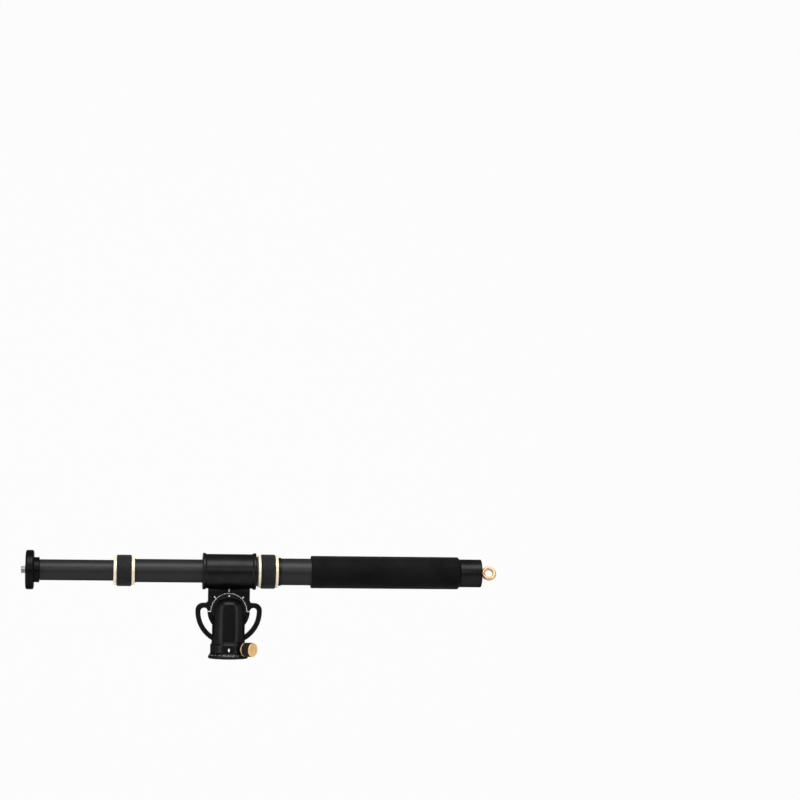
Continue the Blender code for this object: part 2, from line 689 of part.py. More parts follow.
def flare_outline():
    """Section across the neck where it widens in two fillets into the sleeve."""
    start = PLATE_THICKNESS / 2 - FLARE_OVERLAP
    reach = start + FLARE_RADIUS
    centre_height = BOOM_ABOVE_PIVOT - sqrt((SLEEVE_RADIUS + FLARE_RADIUS) ** 2 - reach**2)
    end_angle = 180.0 - degrees(acos(reach / (SLEEVE_RADIUS + FLARE_RADIUS)))
    right = arc((reach, centre_height), FLARE_RADIUS, 180.0, end_angle, 5)
    inside = BOOM_ABOVE_PIVOT - (SLEEVE_RADIUS + SLEEVE_BORE) / 2
    right.append((right[-1][0] - FLARE_ROOT, inside + FLARE_ROOT))
    left = [(-across, up) for across, up in reversed(right)]
    return right + left


def make_tilt_bracket(boom_tilt, boom, black):
    half = PLATE_THICKNESS / 2
    beyond = half + OVERSHOOT
    bracket = extruded("tilt_bracket", plate_outline(), -half, half, "XZ", boom_tilt, black)
    cut(bracket, extruded("arc_slot", slot_outline(), -beyond, beyond, "XZ", boom_tilt, black))
    round_edges(bracket, PLATE_BEVEL)
    bore = PIVOT_PIN_RADIUS + 2 * GAP + PIVOT_BUSH_WALL
    cut(bracket, rod("bush_bore", bore, -beyond, beyond, tilt_side(boom_tilt), black, MEDIUM_FACETS))
    flare_half = NECK_WIDTH / 2 - FLARE_END_INSET
    join(bracket, extruded("neck_flare", flare_outline(), -flare_half, flare_half, "YZ", boom_tilt, black))
    side = [
        (SLEEVE_RADIUS, LIP_WIDTH + LIP_SLOPE),
        (LIP_RADIUS, LIP_WIDTH),
        (LIP_RADIUS, LIP_EDGE),
        (LIP_RADIUS - LIP_EDGE, 0.0),
        (SLEEVE_BORE, 0.0),
    ]
    profile = [(radius, SLEEVE_END - inset) for radius, inset in side]
    profile += [(radius, inset - SLEEVE_END) for radius, inset in reversed(side)]
    join(bracket, turned("sleeve", profile, boom, black))


def make_sleeve_bushes(boom, plastic):
    inner = MID_TUBE_RADIUS + GAP
    outer = SLEEVE_BORE - GAP
    inset = SLEEVE_END - GAP
    ring("sleeve_bush_left", inner, outer, -inset, SLEEVE_BUSH_LENGTH - inset, boom, plastic, MEDIUM_FACETS)
    ring("sleeve_bush_right", inner, outer, inset - SLEEVE_BUSH_LENGTH, inset, boom, plastic, MEDIUM_FACETS)


def make_guide(name, bore, tube_end, rim_radius, axis, plastic):
    """A plug whose spigot goes into a tube's inner end and whose rim runs in the next tube."""
    outer = bore - GAP
    inner = outer - GUIDE_WALL
    profile = [
        (inner, tube_end - GUIDE_SPIGOT_LENGTH),
        (outer, tube_end - GUIDE_SPIGOT_LENGTH),
        (outer, tube_end + GAP),
        (rim_radius, tube_end + GAP),
        (rim_radius, tube_end + GAP + GUIDE_RIM_LENGTH),
        (inner, tube_end + GAP + GUIDE_RIM_LENGTH),
    ]
    turned(name, profile, axis, plastic, MEDIUM_FACETS)


def make_tubes(boom, front, rear, carbon, plastic):
    front_start = HUB_END + GAP
    front_end = front_start + FRONT_TUBE_LENGTH
    front_bore = FRONT_TUBE_RADIUS - FRONT_TUBE_WALL
    mid_bore = MID_TUBE_RADIUS - MID_TUBE_WALL
    rear_bore = REAR_TUBE_RADIUS - REAR_TUBE_WALL
    ring("front_tube", front_bore, FRONT_TUBE_RADIUS, front_start, front_end, front, carbon)
    ring("middle_tube", mid_bore, MID_TUBE_RADIUS, FRONT_FERRULE_START + GAP, MID_TUBE_END, boom, carbon)
    ring("rear_tube", rear_bore, REAR_TUBE_RADIUS, REAR_FERRULE_START + GAP, GRIP_END, rear, carbon)
    make_guide("front_tube_guide", front_bore, front_end, mid_bore - GAP, front, plastic)
    make_guide("middle_tube_guide", mid_bore, MID_TUBE_END, rear_bore - GAP, boom, plastic)


def ferrule_profile(tube_radius, start, thread_end, skirt_end):
    bore = tube_radius + GAP
    thread = bore + FERRULE_THREAD_WALL
    skirt = bore + FERRULE_WALL
    return [
        (bore, start),
        (thread, start),
        (thread, thread_end),
        (skirt, thread_end),
        (skirt, skirt_end),
        (bore, skirt_end),
    ]


def band_profile(seat, radius, start, end):
    return [
        (seat + GAP, start),
        (radius - BAND_EDGE, start),
        (radius, start + BAND_EDGE),
        (radius, end - BAND_EDGE),
        (radius - BAND_EDGE, end),
        (seat + GAP, end),
    ]


def collar_profile(tube_radius, thread_radius, opening, mouth, length, lock_radius, band_length):
    """Collar from its mouth inwards: lip, taper and thread, with a groove round it for the band."""
    groove = thread_radius + COLLAR_WALL
    side = (length - band_length) / 2
    taper_start = tube_radius + COLLET_TAPER
    outline = [
        (opening, 0.0),
        (lock_radius - COLLAR_EDGE, 0.0),
        (lock_radius, COLLAR_EDGE),
        (lock_radius, side - GAP),
        (groove, side - GAP),
        (groove, length - side + GAP),
        (lock_radius, length - side + GAP),
        (lock_radius, length - COLLAR_EDGE),
        (lock_radius - COLLAR_EDGE, length),
        (thread_radius, length),
        (thread_radius, length - FERRULE_COVER - 1.2),
        (taper_start, COLLAR_LIP_THICKNESS),
        (opening, COLLAR_LIP_THICKNESS),
    ]
    return [(radius, mouth + along) for radius, along in outline]


def cut_collet_slots(collet, name, axis, start, end, radius, material):
    """Slots through the collet wall, each blade cutting both sides of the ring."""
    for i in range(COLLET_SLOTS):
        angle = radians(180.0 * i / COLLET_SLOTS + 15.0)
        along = Vector((cos(angle), sin(angle)))
        across = Vector((-sin(angle), cos(angle))) * (COLLET_SLOT_WIDTH / 2)
        reach = along * radius
        corners = (reach + across, across - reach, -reach - across, reach - across)
        outline = [tuple(corner) for corner in corners]
        cut(collet, extruded(f"{name}_{i}", outline, start, end, "XY", axis, material))


def make_front_lock(boom, turn, gold, rubber, black, plastic):
    thread = MID_TUBE_RADIUS + GAP + FERRULE_THREAD_WALL
    turned(
        "front_lock_ferrule",
        ferrule_profile(MID_TUBE_RADIUS, FRONT_FERRULE_START, FRONT_COLLAR_RIGHT - GAP, FRONT_SKIRT_END),
        boom, black,
    )
    opening = FRONT_TUBE_RADIUS + COLLAR_MOUTH_GAP
    profile = collar_profile(
        FRONT_TUBE_RADIUS, thread + GAP, opening, FRONT_COLLAR_LEFT, FRONT_LOCK_LENGTH, FRONT_LOCK_RADIUS,
        FRONT_BAND_LENGTH,
    )
    turned("front_lock_collar", profile, turn, gold)
    side = (FRONT_LOCK_LENGTH - FRONT_BAND_LENGTH) / 2
    seat = thread + GAP + COLLAR_WALL
    turned(
        "front_lock_band",
        band_profile(seat, FRONT_BAND_RADIUS, FRONT_COLLAR_LEFT + side, FRONT_COLLAR_RIGHT - side),
        turn, rubber,
    )
    mouth = FRONT_COLLAR_LEFT + COLLAR_LIP_THICKNESS + GAP
    end = FRONT_FERRULE_START - GAP
    bore = FRONT_TUBE_RADIUS + GAP
    thick = bore + 0.6 + COLLET_TAPER
    profile = [(bore, mouth), (bore + 0.6, mouth), (thick, end - 0.5), (thick, end), (bore, end)]
    collet = turned("front_lock_collet", profile, boom, plastic, MEDIUM_FACETS)
    cut_collet_slots(collet, "front_collet_slot", boom, mouth + 2.0, end + 2.0, 25.0, plastic)


def make_rear_lock(rear, turn, gold, rubber, black, plastic):
    thread = REAR_TUBE_RADIUS + GAP + FERRULE_THREAD_WALL
    turned(
        "rear_lock_ferrule",
        ferrule_profile(REAR_TUBE_RADIUS, REAR_FERRULE_START, REAR_COLLAR_RIGHT - GAP, REAR_SKIRT_END),
        rear, black,
    )
    bore = MID_TUBE_RADIUS + GAP
    neck = bore + 1.0
    profile = collar_profile(
        MID_TUBE_RADIUS + 0.8, thread + GAP, neck + GAP, REAR_COLLAR_LEFT, REAR_LOCK_LENGTH,
        REAR_LOCK_RADIUS, REAR_BAND_LENGTH,
    )
    turned("rear_lock_collar", profile, turn, gold)
    side = (REAR_LOCK_LENGTH - REAR_BAND_LENGTH) / 2
    seat = thread + GAP + COLLAR_WALL
    turned(
        "rear_lock_band",
        band_profile(seat, REAR_BAND_RADIUS, REAR_COLLAR_LEFT + side, REAR_COLLAR_RIGHT - side),
        turn, rubber,
    )
    nose_end = NOSE_START + REAR_NOSE_LENGTH
    taper_start = REAR_COLLAR_LEFT + COLLAR_LIP_THICKNESS + GAP
    end = REAR_FERRULE_START - GAP
    profile = [
        (bore, NOSE_START),
        (REAR_NOSE_RADIUS - 0.6, NOSE_START),
        (REAR_NOSE_RADIUS, NOSE_START + 0.6),
        (REAR_NOSE_RADIUS, nose_end),
        (neck, nose_end),
        (neck, taper_start),
        (bore + 1.4, taper_start),
        (bore + 2.5, end - 0.5),
        (bore + 2.5, end),
        (bore, end),
    ]
    collet = turned("rear_lock_collet", profile, rear, plastic, MEDIUM_FACETS)
    cut_collet_slots(collet, "rear_collet_slot", rear, taper_start + 1.5, end + 2.0, 25.0, plastic)


def make_camera_flange(front, black, steel):
    plug_radius = FRONT_TUBE_RADIUS - FRONT_TUBE_WALL - GAP
    bore = STUD_RADIUS + GAP
    depth = FLANGE_FACE + STUD_DEPTH + GAP
    profile = [
        (plug_radius, HUB_END + PLUG_LENGTH),
        (0.0, HUB_END + PLUG_LENGTH),
        (0.0, depth),
        (bore, depth),
        (bore, FLANGE_FACE),
    ]
    rim = FLANGE_RADIUS - FLANGE_EDGE
    profile += arc((rim, FLANGE_FACE + FLANGE_EDGE), FLANGE_EDGE, -90.0, 0.0, 3)
    profile += arc((rim, FLANGE_BACK - FLANGE_EDGE), FLANGE_EDGE, 0.0, 90.0, 3)
    profile += [
        (HUB_RADIUS, FLANGE_BACK),
        (HUB_RADIUS, HUB_END - 0.3),
        (HUB_RADIUS - 0.3, HUB_END),
        (plug_radius, HUB_END),
    ]
    turned("camera_flange", profile, front, black)
    tip = FLANGE_FACE - STUD_PROUD
    stud_profile = [
        (0.0, tip),
        (STUD_RADIUS - 0.6, tip),
        (STUD_RADIUS, tip + 0.6),
        (STUD_RADIUS, depth - GAP),
        (0.0, depth - GAP),
    ]
    turned("camera_stud", stud_profile, front, steel, SMALL_FACETS)


def make_grip(rear, foam):
    inner = REAR_TUBE_RADIUS + GAP
    profile = [
        (inner, GRIP_START),
        (GRIP_RADIUS - 0.5, GRIP_START),
        (GRIP_RADIUS, GRIP_START + 0.5),
        (GRIP_RADIUS, GRIP_END - GRIP_TAPER_LENGTH),
        (GRIP_RADIUS - 0.4 * GRIP_TAPER_DEPTH, GRIP_END - 0.6 * GRIP_TAPER_LENGTH),
        (GRIP_RADIUS - GRIP_TAPER_DEPTH, GRIP_END),
        (inner, GRIP_END),
    ]
    turned("grip", profile, rear, foam)


def make_end_cap(rear, black):
    spigot = REAR_TUBE_RADIUS - REAR_TUBE_WALL - GAP
    spigot_start = CAP_START - CAP_SPIGOT_LENGTH
    shank_bore = EYE_SHANK_RADIUS + GAP
    profile = [
        (CAP_CORE_RADIUS, spigot_start),
        (spigot, spigot_start),
        (spigot, CAP_START),
        (CAP_RADIUS - 0.4, CAP_START),
        (CAP_RADIUS, CAP_START + 0.4),
    ]
    steps = 4
    for i in range(steps + 1):
        angle = radians(90.0 * i / steps)
        across = CAP_RIM_RADIUS + (CAP_RADIUS - CAP_RIM_RADIUS) * cos(angle)
        profile.append((across, CAP_EDGE + CAP_DOME * sin(angle)))
    profile += [
        (CAP_RIM_RADIUS - 0.6, CAP_END),
        (CAP_RIM_RADIUS - 1.1, CAP_RECESS_FLOOR),
        (shank_bore, CAP_RECESS_FLOOR),
        (shank_bore, CAP_WALL_START),
        (CAP_CORE_RADIUS, CAP_WALL_START),
    ]
    turned("end_cap", profile, rear, black)


def make_eye(eye, gold, steel):
    """Lanyard eye: a ring that stands across the boom's axis, on a shank that turns in the end cap."""
    ring_start = CAP_RECESS_FLOOR + EYE_STANDOFF
    centre = ring_start + EYE_RING_RADIUS + EYE_WIRE_RADIUS
    turn = radians(EYE_TURN)
    ring_frame = make_frame("eye_ring_centre", (0, 0, centre), (sin(turn), cos(turn), 0), eye)
    profile = [(EYE_RING_RADIUS + a, b) for a, b in circle(EYE_WIRE_RADIUS, 8)]
    body = turned("lanyard_eye", profile, ring_frame, gold, 24)
    groove = CAP_WALL_START - GAP - CLIP_THICKNESS / 2
    half_groove = CLIP_THICKNESS / 2 + GAP
    shank_start = groove - half_groove - 1.2
    groove_radius = EYE_SHANK_RADIUS - EYE_GROOVE_DEPTH
    shank_profile = [
        (0.0, shank_start),
        (EYE_SHANK_RADIUS, shank_start),
        (EYE_SHANK_RADIUS, groove - half_groove),
        (groove_radius, groove - half_groove),
        (groove_radius, groove + half_groove),
        (EYE_SHANK_RADIUS, groove + half_groove),
        (EYE_SHANK_RADIUS, ring_start + EYE_WIRE_RADIUS),
        (0.0, ring_start + EYE_WIRE_RADIUS),
    ]
    join(body, turned("eye_shank", shank_profile, eye, gold, 16))

    clip_start = groove - CLIP_THICKNESS / 2
    clip_end = groove + CLIP_THICKNESS / 2
    clip = ring("eye_clip", groove_radius + GAP, CLIP_RADIUS, clip_start, clip_end, eye, steel, SMALL_FACETS)
    opening = [(0.0, -1.7), (9.0, -1.7), (9.0, 1.7), (0.0, 1.7)]
    cut(clip, extruded("clip_opening", opening, groove - 2.0, groove + 2.0, "XY", eye, steel))


def main():
    clear_scene()
    black = make_material("black_metal", (0.022, 0.022, 0.023), 0.42, 0.7)
    carbon = make_material("carbon_fibre", (0.05, 0.05, 0.052), 0.35, 0.0)
    gold = make_material("gold_anodised", (0.75, 0.48, 0.22), 0.28, 1.0)
    steel = make_material("steel", (0.6, 0.6, 0.6), 0.3, 1.0)
    brass = make_material("brass", (0.72, 0.52, 0.22), 0.35, 1.0)
    rubber = make_material("rubber", (0.025, 0.025, 0.026), 0.75, 0.0)
    foam = make_material("foam", (0.012, 0.012, 0.012), 0.85, 0.0)
    plastic = make_material("black_plastic", (0.03, 0.03, 0.03), 0.5, 0.0)

    base = make_frame("base", (0, 0, 0), (0, 0, 1))
    pan = make_frame("pan_axis", (0, 0, 0), (0, 0, 1), base)
    tilt = make_frame("tilt_axis", (0, 0, PIVOT_HEIGHT), (0, 0, 1), pan)
    clamp = make_frame("clamp_axis", (0, 0, CLAMP_HEIGHT), (0, 1, 0), pan)
    knob_turn = radians(LOCK_KNOB_ANGLE)
    outward = (sin(knob_turn), -cos(knob_turn), 0)
    lock = make_frame("pan_lock_axis", (0, 0, LOCK_KNOB_HEIGHT), outward, pan)
    grub = make_frame("grub_axis", (0, 0, LOCK_KNOB_HEIGHT), (-outward[0], -outward[1], 0), pan)
    boom_tilt = make_frame("boom_tilt", (0, 0, 0), (0, 0, 1), tilt)
    boom = make_frame("boom_axis", (0, 0, BOOM_ABOVE_PIVOT), (1, 0, 0), boom_tilt)
    front = make_frame("front_slide_axis", (0, 0, 0), (0, 0, 1), boom)
    rear = make_frame("rear_slide_axis", (0, 0, 0), (0, 0, 1), boom)
    front_turn = make_frame("front_lock_axis", (0, 0, 0), (0, 0, 1), boom)
    rear_turn = make_frame("rear_lock_axis", (0, 0, 0), (0, 0, 1), rear)
    eye = make_frame("eye_axis", (0, 0, 0), (0, 0, 1), rear)

    make_pan_base(base, black)
    make_thread_insert(base, steel)
    make_pan_washer(base, plastic)
    make_tower(pan, tilt, clamp, lock, grub, black)
    make_pivot(tilt, boom_tilt, steel, brass, plastic)
    make_clamp(clamp, steel, gold)
    make_pan_lock(lock, grub, steel, gold, rubber, brass)
    make_tilt_bracket(boom_tilt, boom, black)
    make_sleeve_bushes(boom, plastic)
    make_tubes(boom, front, rear, carbon, plastic)
    make_front_lock(boom, front_turn, gold, rubber, black, plastic)
    make_rear_lock(rear, rear_turn, gold, rubber, black, plastic)
    make_camera_flange(front, black, steel)
    make_grip(rear, foam)
    make_end_cap(rear, black)
    make_eye(eye, gold, steel)


main()
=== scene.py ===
import json
from math import acos, atan2, cos, degrees, pi, radians, sin, sqrt, tan

import bmesh
import bpy
from mathutils import Matrix, Vector, noise


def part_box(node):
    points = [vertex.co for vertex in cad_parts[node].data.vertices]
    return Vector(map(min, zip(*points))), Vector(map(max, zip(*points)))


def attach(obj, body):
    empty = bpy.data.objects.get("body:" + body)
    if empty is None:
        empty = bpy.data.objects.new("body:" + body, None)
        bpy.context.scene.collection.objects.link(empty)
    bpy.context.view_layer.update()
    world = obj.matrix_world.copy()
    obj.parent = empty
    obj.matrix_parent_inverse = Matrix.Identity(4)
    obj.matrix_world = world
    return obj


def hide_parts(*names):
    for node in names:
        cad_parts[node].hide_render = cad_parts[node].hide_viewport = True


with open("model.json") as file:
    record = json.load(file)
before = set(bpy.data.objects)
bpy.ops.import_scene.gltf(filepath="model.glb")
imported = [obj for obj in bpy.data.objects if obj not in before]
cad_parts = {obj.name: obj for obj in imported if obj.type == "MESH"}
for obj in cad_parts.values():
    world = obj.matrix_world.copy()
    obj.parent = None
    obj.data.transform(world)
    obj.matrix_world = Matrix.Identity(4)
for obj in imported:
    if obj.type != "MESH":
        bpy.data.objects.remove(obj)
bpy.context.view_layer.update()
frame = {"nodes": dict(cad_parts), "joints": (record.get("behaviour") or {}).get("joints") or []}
NODES = frame["nodes"]
JOINTS = {joint["name"]: joint for joint in frame["joints"]}
MM = 0.001

# Camera, in metres and degrees
CAMERA_PLACE = (-0.141, -2.826, 0.2315)
CAMERA_YAW = 6.985
CAMERA_PITCH = 1.7
CAMERA_ROLL = 0.815
CAMERA_LENS = 104.7

# Studio, in metres. The floor is low enough for the boom to stand upright above it.
FLOOR_DEPTH = 0.45
FLOOR_FRONT = 1.7
STUDIO_HALF = 4.0
BACKDROP_DISTANCE = 2.2
BACKDROP_CURVE = 0.8
BACKDROP_TOP = 3.5

# Share of the floor that is plain white, the rest being lit paint that shows the object's shadow
FLOOR_GLOW = 0.95

# Strength of the world as a light, and in reflections from the front and from behind
WORLD_FILL = 0.32
FRONT_REFLECTION = 0.14
REAR_REFLECTION = 0.8

# Lamps: place and target in metres, width and height in metres, and power in watts
LAMPS = (
    ("overhead", (0.03, -0.75, 1.35), (0.03, 0.0, 0.1), 1.8, 0.8, 26.0),
    ("front", (-0.25, -1.9, 0.7), (0.03, 0.0, 0.09), 1.6, 0.45, 7.0),
    ("left_strip", (-1.45, -1.0, 0.15), (0.0, 0.0, 0.05), 0.3, 1.1, 6.0),
    ("right_strip", (1.35, -1.0, 0.15), (0.0, 0.0, 0.05), 0.3, 1.1, 5.0),
)

# Facets of round pieces
FINE = 126
SMALL = 62

# Sizes that are not read from the frame, in millimetres
GAP = 0.3
THREAD_PITCH = 1.5875
TOW_PITCH = 1.9
PAINT_SKIN = 0.05
PAINT_ROOT = 0.1

# Twist locks and lanyard eye
TUBE_RADIUS = 14.0
COLLAR_WALL = 0.9
COLLAR_LIP = 2.0
EYE_RING = 6.9
EYE_WIRE = 2.4
EYE_TURN = 28.0
SHANK_RADIUS = 3.0

# Tilt bracket
PLATE_THICKNESS = 7.0
PLATE_RADIUS = 40.1
SLOT_INNER_RADIUS = 25.5
SLOT_OUTER_RADIUS = 34.1
SHOULDER_HEIGHT = 10.2
SHOULDER_CORNER = 9.0
NECK_WIDTH = 50.5
NECK_FILLET = 3.3
FLARE_RADIUS = 6.0
FLARE_OVERLAP = 0.15
SLEEVE_RADIUS = 20.85
SLEEVE_BORE = 17.0
LIP_WIDTH = 3.0

# Tower, and the post of the base in it
BODY_RADIUS = 21.7
BODY_BOTTOM = 7.2
BODY_TOP = 16.6
TOWER_STEP = 1.6
TOWER_RADIUS = 20.3
ARCH_RADIUS = 20.6
ARCH_STEP = 0.3
CHEEK_REACH = 9.0
CHEEK_DROP = 2.0
CHEEK_CHAMFER = 5.0
CHEEK_BOTTOM = 10.0
DOME_START = 6.9
DOME_RISE = 11.0
DOME_FLAT = 0.7
RECESS_WIDTH = 14.5
RECESS_ARCH_CENTRE = 1.8
RECESS_FLOOR = 18.0
RECESS_BOTTOM = 19.4
SLOT_HALF_WIDTH = 4.9
SLOT_CUT_RADIUS = 40.6
BLIND_DEPTH = 14.4
CUTTER_REACH = 32.0
POST_RADIUS = 14.0
POST_HEIGHT = 14.1

# Bolts and screws in the tower
PIN_RADIUS = 5.0
PIN_HEAD_RADIUS = 7.3
ROD_RADIUS = 4.0
ROD_SHOULDER_RADIUS = 6.0
LOCK_SCREW_RADIUS = 3.0


def span(node):
    """Lowest and highest X of a node, in millimetres."""
    low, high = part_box(node)
    return low.x / MM, high.x / MM


def outer_radius(node):
    """Radius of a node that is round about the boom."""
    low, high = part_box(node)
    return (high.z - low.z) / 2 / MM


def make_axis(origin, direction):
    """Frame in metres whose local Z, in millimetres, runs along direction from origin."""
    turn = Vector((0, 0, 1)).rotation_difference(Vector(direction)).to_matrix().to_4x4()
    return Matrix.Translation(Vector(origin)) @ turn @ Matrix.Scale(MM, 4)


tube_low, tube_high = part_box("middle_tube")
BOOM_HEIGHT = (tube_low.z + tube_high.z) / 2
PIVOT = Vector(JOINTS["tilt"]["pos_m"])
BOOM_ABOVE_PIVOT = (BOOM_HEIGHT - PIVOT.z) / MM
WORLD = Matrix.Scale(MM, 4)
BOOM = make_axis((0, 0, BOOM_HEIGHT), (1, 0, 0))
PIVOT_LINE = make_axis(PIVOT, (0, 1, 0))
HEAD = Matrix.Translation(PIVOT) @ Matrix.Scale(MM, 4)
CLAMP = make_axis(JOINTS["tilt_clamp_turn"]["pos_m"], JOINTS["tilt_clamp_turn"]["axis"])
LOCK = make_axis(JOINTS["pan_lock_turn"]["pos_m"], JOINTS["pan_lock_turn"]["axis"])
GRUB = make_axis(LOCK.to_translation(), -LOCK.col[2].to_3d())


# Mesh making
def arc(centre, radius, start, end, steps):
    """Points on a circle from the start angle to the end angle, in degrees."""
    points = []
    for i in range(steps + 1):
        angle = radians(start + (end - start) * i / steps)
        points.append((centre[0] + radius * cos(angle), centre[1] + radius * sin(angle)))
    return points


def rounded(corners, steps=5):
    """Outline from (across, along, corner radius) points, each corner drawn as an arc of its radius."""
    outline = []
    for i, (across, along, radius) in enumerate(corners):
        here = Vector((across, along))
        if radius <= 0.0:
            outline.append((across, along))
            continue
        before = (Vector(corners[i - 1][:2]) - here).normalized()
        after = (Vector(corners[(i + 1) % len(corners)][:2]) - here).normalized()
        half = before.angle(after) / 2
        centre = here + (before + after).normalized() * (radius / sin(half))
        first = here + before * (radius / tan(half)) - centre
        sweep = pi - 2 * half
        turn = 1.0 if before.x * after.y - before.y * after.x < 0.0 else -1.0
        for k in range(steps + 1):
            angle = turn * sweep * k / steps
            x = first.x * cos(angle) - first.y * sin(angle)
            y = first.x * sin(angle) + first.y * cos(angle)
            outline.append((centre.x + x, centre.y + y))
    return outline


def make_object(name, shape, axis, material):
    """Turns a shape in its own frame into an object whose mesh lies in world metres."""
    bmesh.ops.recalc_face_normals(shape, faces=shape.faces)
    mesh = bpy.data.meshes.new(name)
    shape.to_mesh(mesh)
    shape.free()
    mesh.transform(axis)
    mesh.materials.append(material)
    mesh.shade_smooth()
    mesh.set_sharp_from_angle(angle=radians(35.0))
    piece = bpy.data.objects.new(name, mesh)
    bpy.context.scene.collection.objects.link(piece)
    return piece


def turned(name, outline, axis, material, facets=FINE, radius_at=None):
    """A closed (radius, height) outline turned about Z. radius_at can change radii by angle and height."""
    shape = bmesh.new()
    rings = []
    for radius, height in outline:
        if radius <= 0.0:
            rings.append([shape.verts.new((0.0, 0.0, height))])
            continue
        points = []
        for k in range(facets):
            angle = 2 * pi * k / facets
            here = radius if radius_at is None else radius_at(radius, height, angle)
            points.append(shape.verts.new((here * cos(angle), here * sin(angle), height)))
        rings.append(points)
    for first, second in zip(rings, rings[1:] + rings[:1]):
        if len(first) == 1 and len(second) == 1:
            continue
        for k in range(facets):
            corners = [first[k % len(first)], second[k % len(second)]]
            corners += [second[(k + 1) % len(second)], first[(k + 1) % len(first)]]
            unique = [corner for i, corner in enumerate(corners) if corner not in corners[:i]]
            if len(unique) > 2:
                shape.faces.new(unique)
    return make_object(name, shape, axis, material)


def cylinder(name, radius, start, end, axis, material, facets=SMALL):
    return turned(name, [(0.0, start), (radius, start), (radius, end), (0.0, end)], axis, material, facets)


def ring(name, inner, outer, start, end, axis, material, edge):
    corners = [(inner, start, edge), (outer, start, edge), (outer, end, edge), (inner, end, edge)]
    return turned(name, rounded(corners, 3), axis, material)


def extruded(name, outline, start, end, plane, axis, material):
    """A closed outline, extruded from start to end across the named plane."""
    place = {
        "XZ": lambda a, b, depth: (a, depth, b),
        "YZ": lambda a, b, depth: (depth, a, b),
        "XY": lambda a, b, depth: (a, b, depth),
    }[plane]
    shape = bmesh.new()
    face = shape.faces.new([shape.verts.new(place(a, b, start)) for a, b in outline])
    grown = bmesh.ops.extrude_face_region(shape, geom=[face])
    moved = [item for item in grown["geom"] if isinstance(item, bmesh.types.BMVert)]
    bmesh.ops.translate(shape, verts=moved, vec=place(0.0, 0.0, end - start))
    return make_object(name, shape, axis, material)


def threaded(name, radius, pitch, depth, start, end, axis, material, chamfer=0.8, facets=40):
    """A rod with a helical thread between start and end, and a chamfer at its start."""
    def thread_radius(here, height, angle):
        if here < radius - chamfer or height > end:
            return here
        phase = (height / pitch - angle / (2 * pi)) % 1.0
        crest = min(1.0, max(0.0, abs(phase - 0.5) * 3.2 - 0.25))
        return min(here, radius) - depth * crest * min(1.0, here / radius)

    steps = int((end - start) / pitch * 10)
    outline = [(0.0, start), (radius - chamfer, start)]
    for i in range(1, steps + 1):
        height = start + (end - start) * i / steps
        outline.append((min(radius, radius - chamfer + (height - start)), height))
    outline.append((0.0, end))
    return turned(name, outline, axis, material, facets, thread_radius)


def add_boolean(piece, other, operation):
    modifier = piece.modifiers.new(other.name, "BOOLEAN")
    modifier.operation = operation
    modifier.solver = "EXACT"
    modifier.object = other


def cut(piece, cutter):
    add_boolean(piece, cutter, "DIFFERENCE")


def join(piece, other):
    add_boolean(piece, other, "UNION")


def apply_modifiers(piece):
    """Keeps the evaluated mesh, and deletes the objects that the modifiers used."""
    used = [modifier.object for modifier in piece.modifiers if modifier.type == "BOOLEAN"]
    graph = bpy.context.evaluated_depsgraph_get()
    mesh = bpy.data.meshes.new_from_object(piece.evaluated_get(graph))
    piece.modifiers.clear()
    piece.data = mesh
    for other in used:
        bpy.data.objects.remove(other)


def soften(piece, voxel, share, passes):
    """Rounds every edge of a casting: a voxel remesh, a smoothing pass and a lighter mesh."""
    apply_modifiers(piece)
    remesh = piece.modifiers.new("voxels", "REMESH")
    remesh.mode = "VOXEL"
    remesh.voxel_size = voxel * MM
    remesh.use_smooth_shade = True
    smooth = piece.modifiers.new("smooth", "SMOOTH")
    smooth.factor = 0.5
    smooth.iterations = passes
    lighter = piece.modifiers.new("lighter", "DECIMATE")
    lighter.ratio = share
    apply_modifiers(piece)
    piece.data.shade_smooth()
    piece.data.set_sharp_from_angle(angle=radians(60.0))


def fit(piece, body, slot, *nodes):
    """The piece rides on a body and stands for the named nodes, which it hides. The slot is not used."""
    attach(piece, body)
    if nodes:
        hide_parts(*nodes)


# Shader nodes
def new_material(name, colour, roughness, metallic=0.0, specular=0.5):
    material = bpy.data.materials.new(name)
    material.use_nodes = True
    tree = material.node_tree
    shader = tree.nodes["Principled BSDF"]
    shader.inputs["Base Color"].default_value = (*colour, 1.0)
    shader.inputs["Roughness"].default_value = roughness
    shader.inputs["Metallic"].default_value = metallic
    shader.inputs["Specular IOR Level"].default_value = specular
    material.diffuse_color = (*colour, 1.0)
    return material, tree, shader


def add_node(tree, kind, links=(), **settings):
    """A shader node with its settings, and with (input, value or socket) pairs put in."""
    made = tree.nodes.new(kind)
    for key, value in settings.items():
        setattr(made, key, value)
    for key, value in links:
        if isinstance(value, bpy.types.NodeSocket):
            tree.links.new(value, made.inputs[key])
        else:
            made.inputs[key].default_value = value
    return made


def math_node(tree, operation, first, second=0.0, third=0.0):
    made = add_node(tree, "ShaderNodeMath", ((0, first), (1, second), (2, third)), operation=operation)
    return made.outputs[0]


def object_place(tree):
    return add_node(tree, "ShaderNodeTexCoord").outputs["Object"]


def noise_node(tree, place, scale, detail, roughness, dimensions="3D"):
    made = add_node(
        tree, "ShaderNodeTexNoise", (("Scale", scale), ("Detail", detail), ("Roughness", roughness)),
        noise_dimensions=dimensions,
    )
    tree.links.new(place, made.inputs["W" if dimensions == "1D" else "Vector"])
    return made.outputs["Fac"]


def grain(tree, scale, detail=3.0, roughness=0.55):
    """Noise over the whole object."""
    return noise_node(tree, object_place(tree), scale, detail, roughness)


def remap(tree, value, low, high, new_low=0.0, new_high=1.0):
    made = add_node(
        tree, "ShaderNodeMapRange",
        (("Value", value), ("From Min", low), ("From Max", high), ("To Min", new_low), ("To Max", new_high)),
    )
    return made.outputs["Result"]


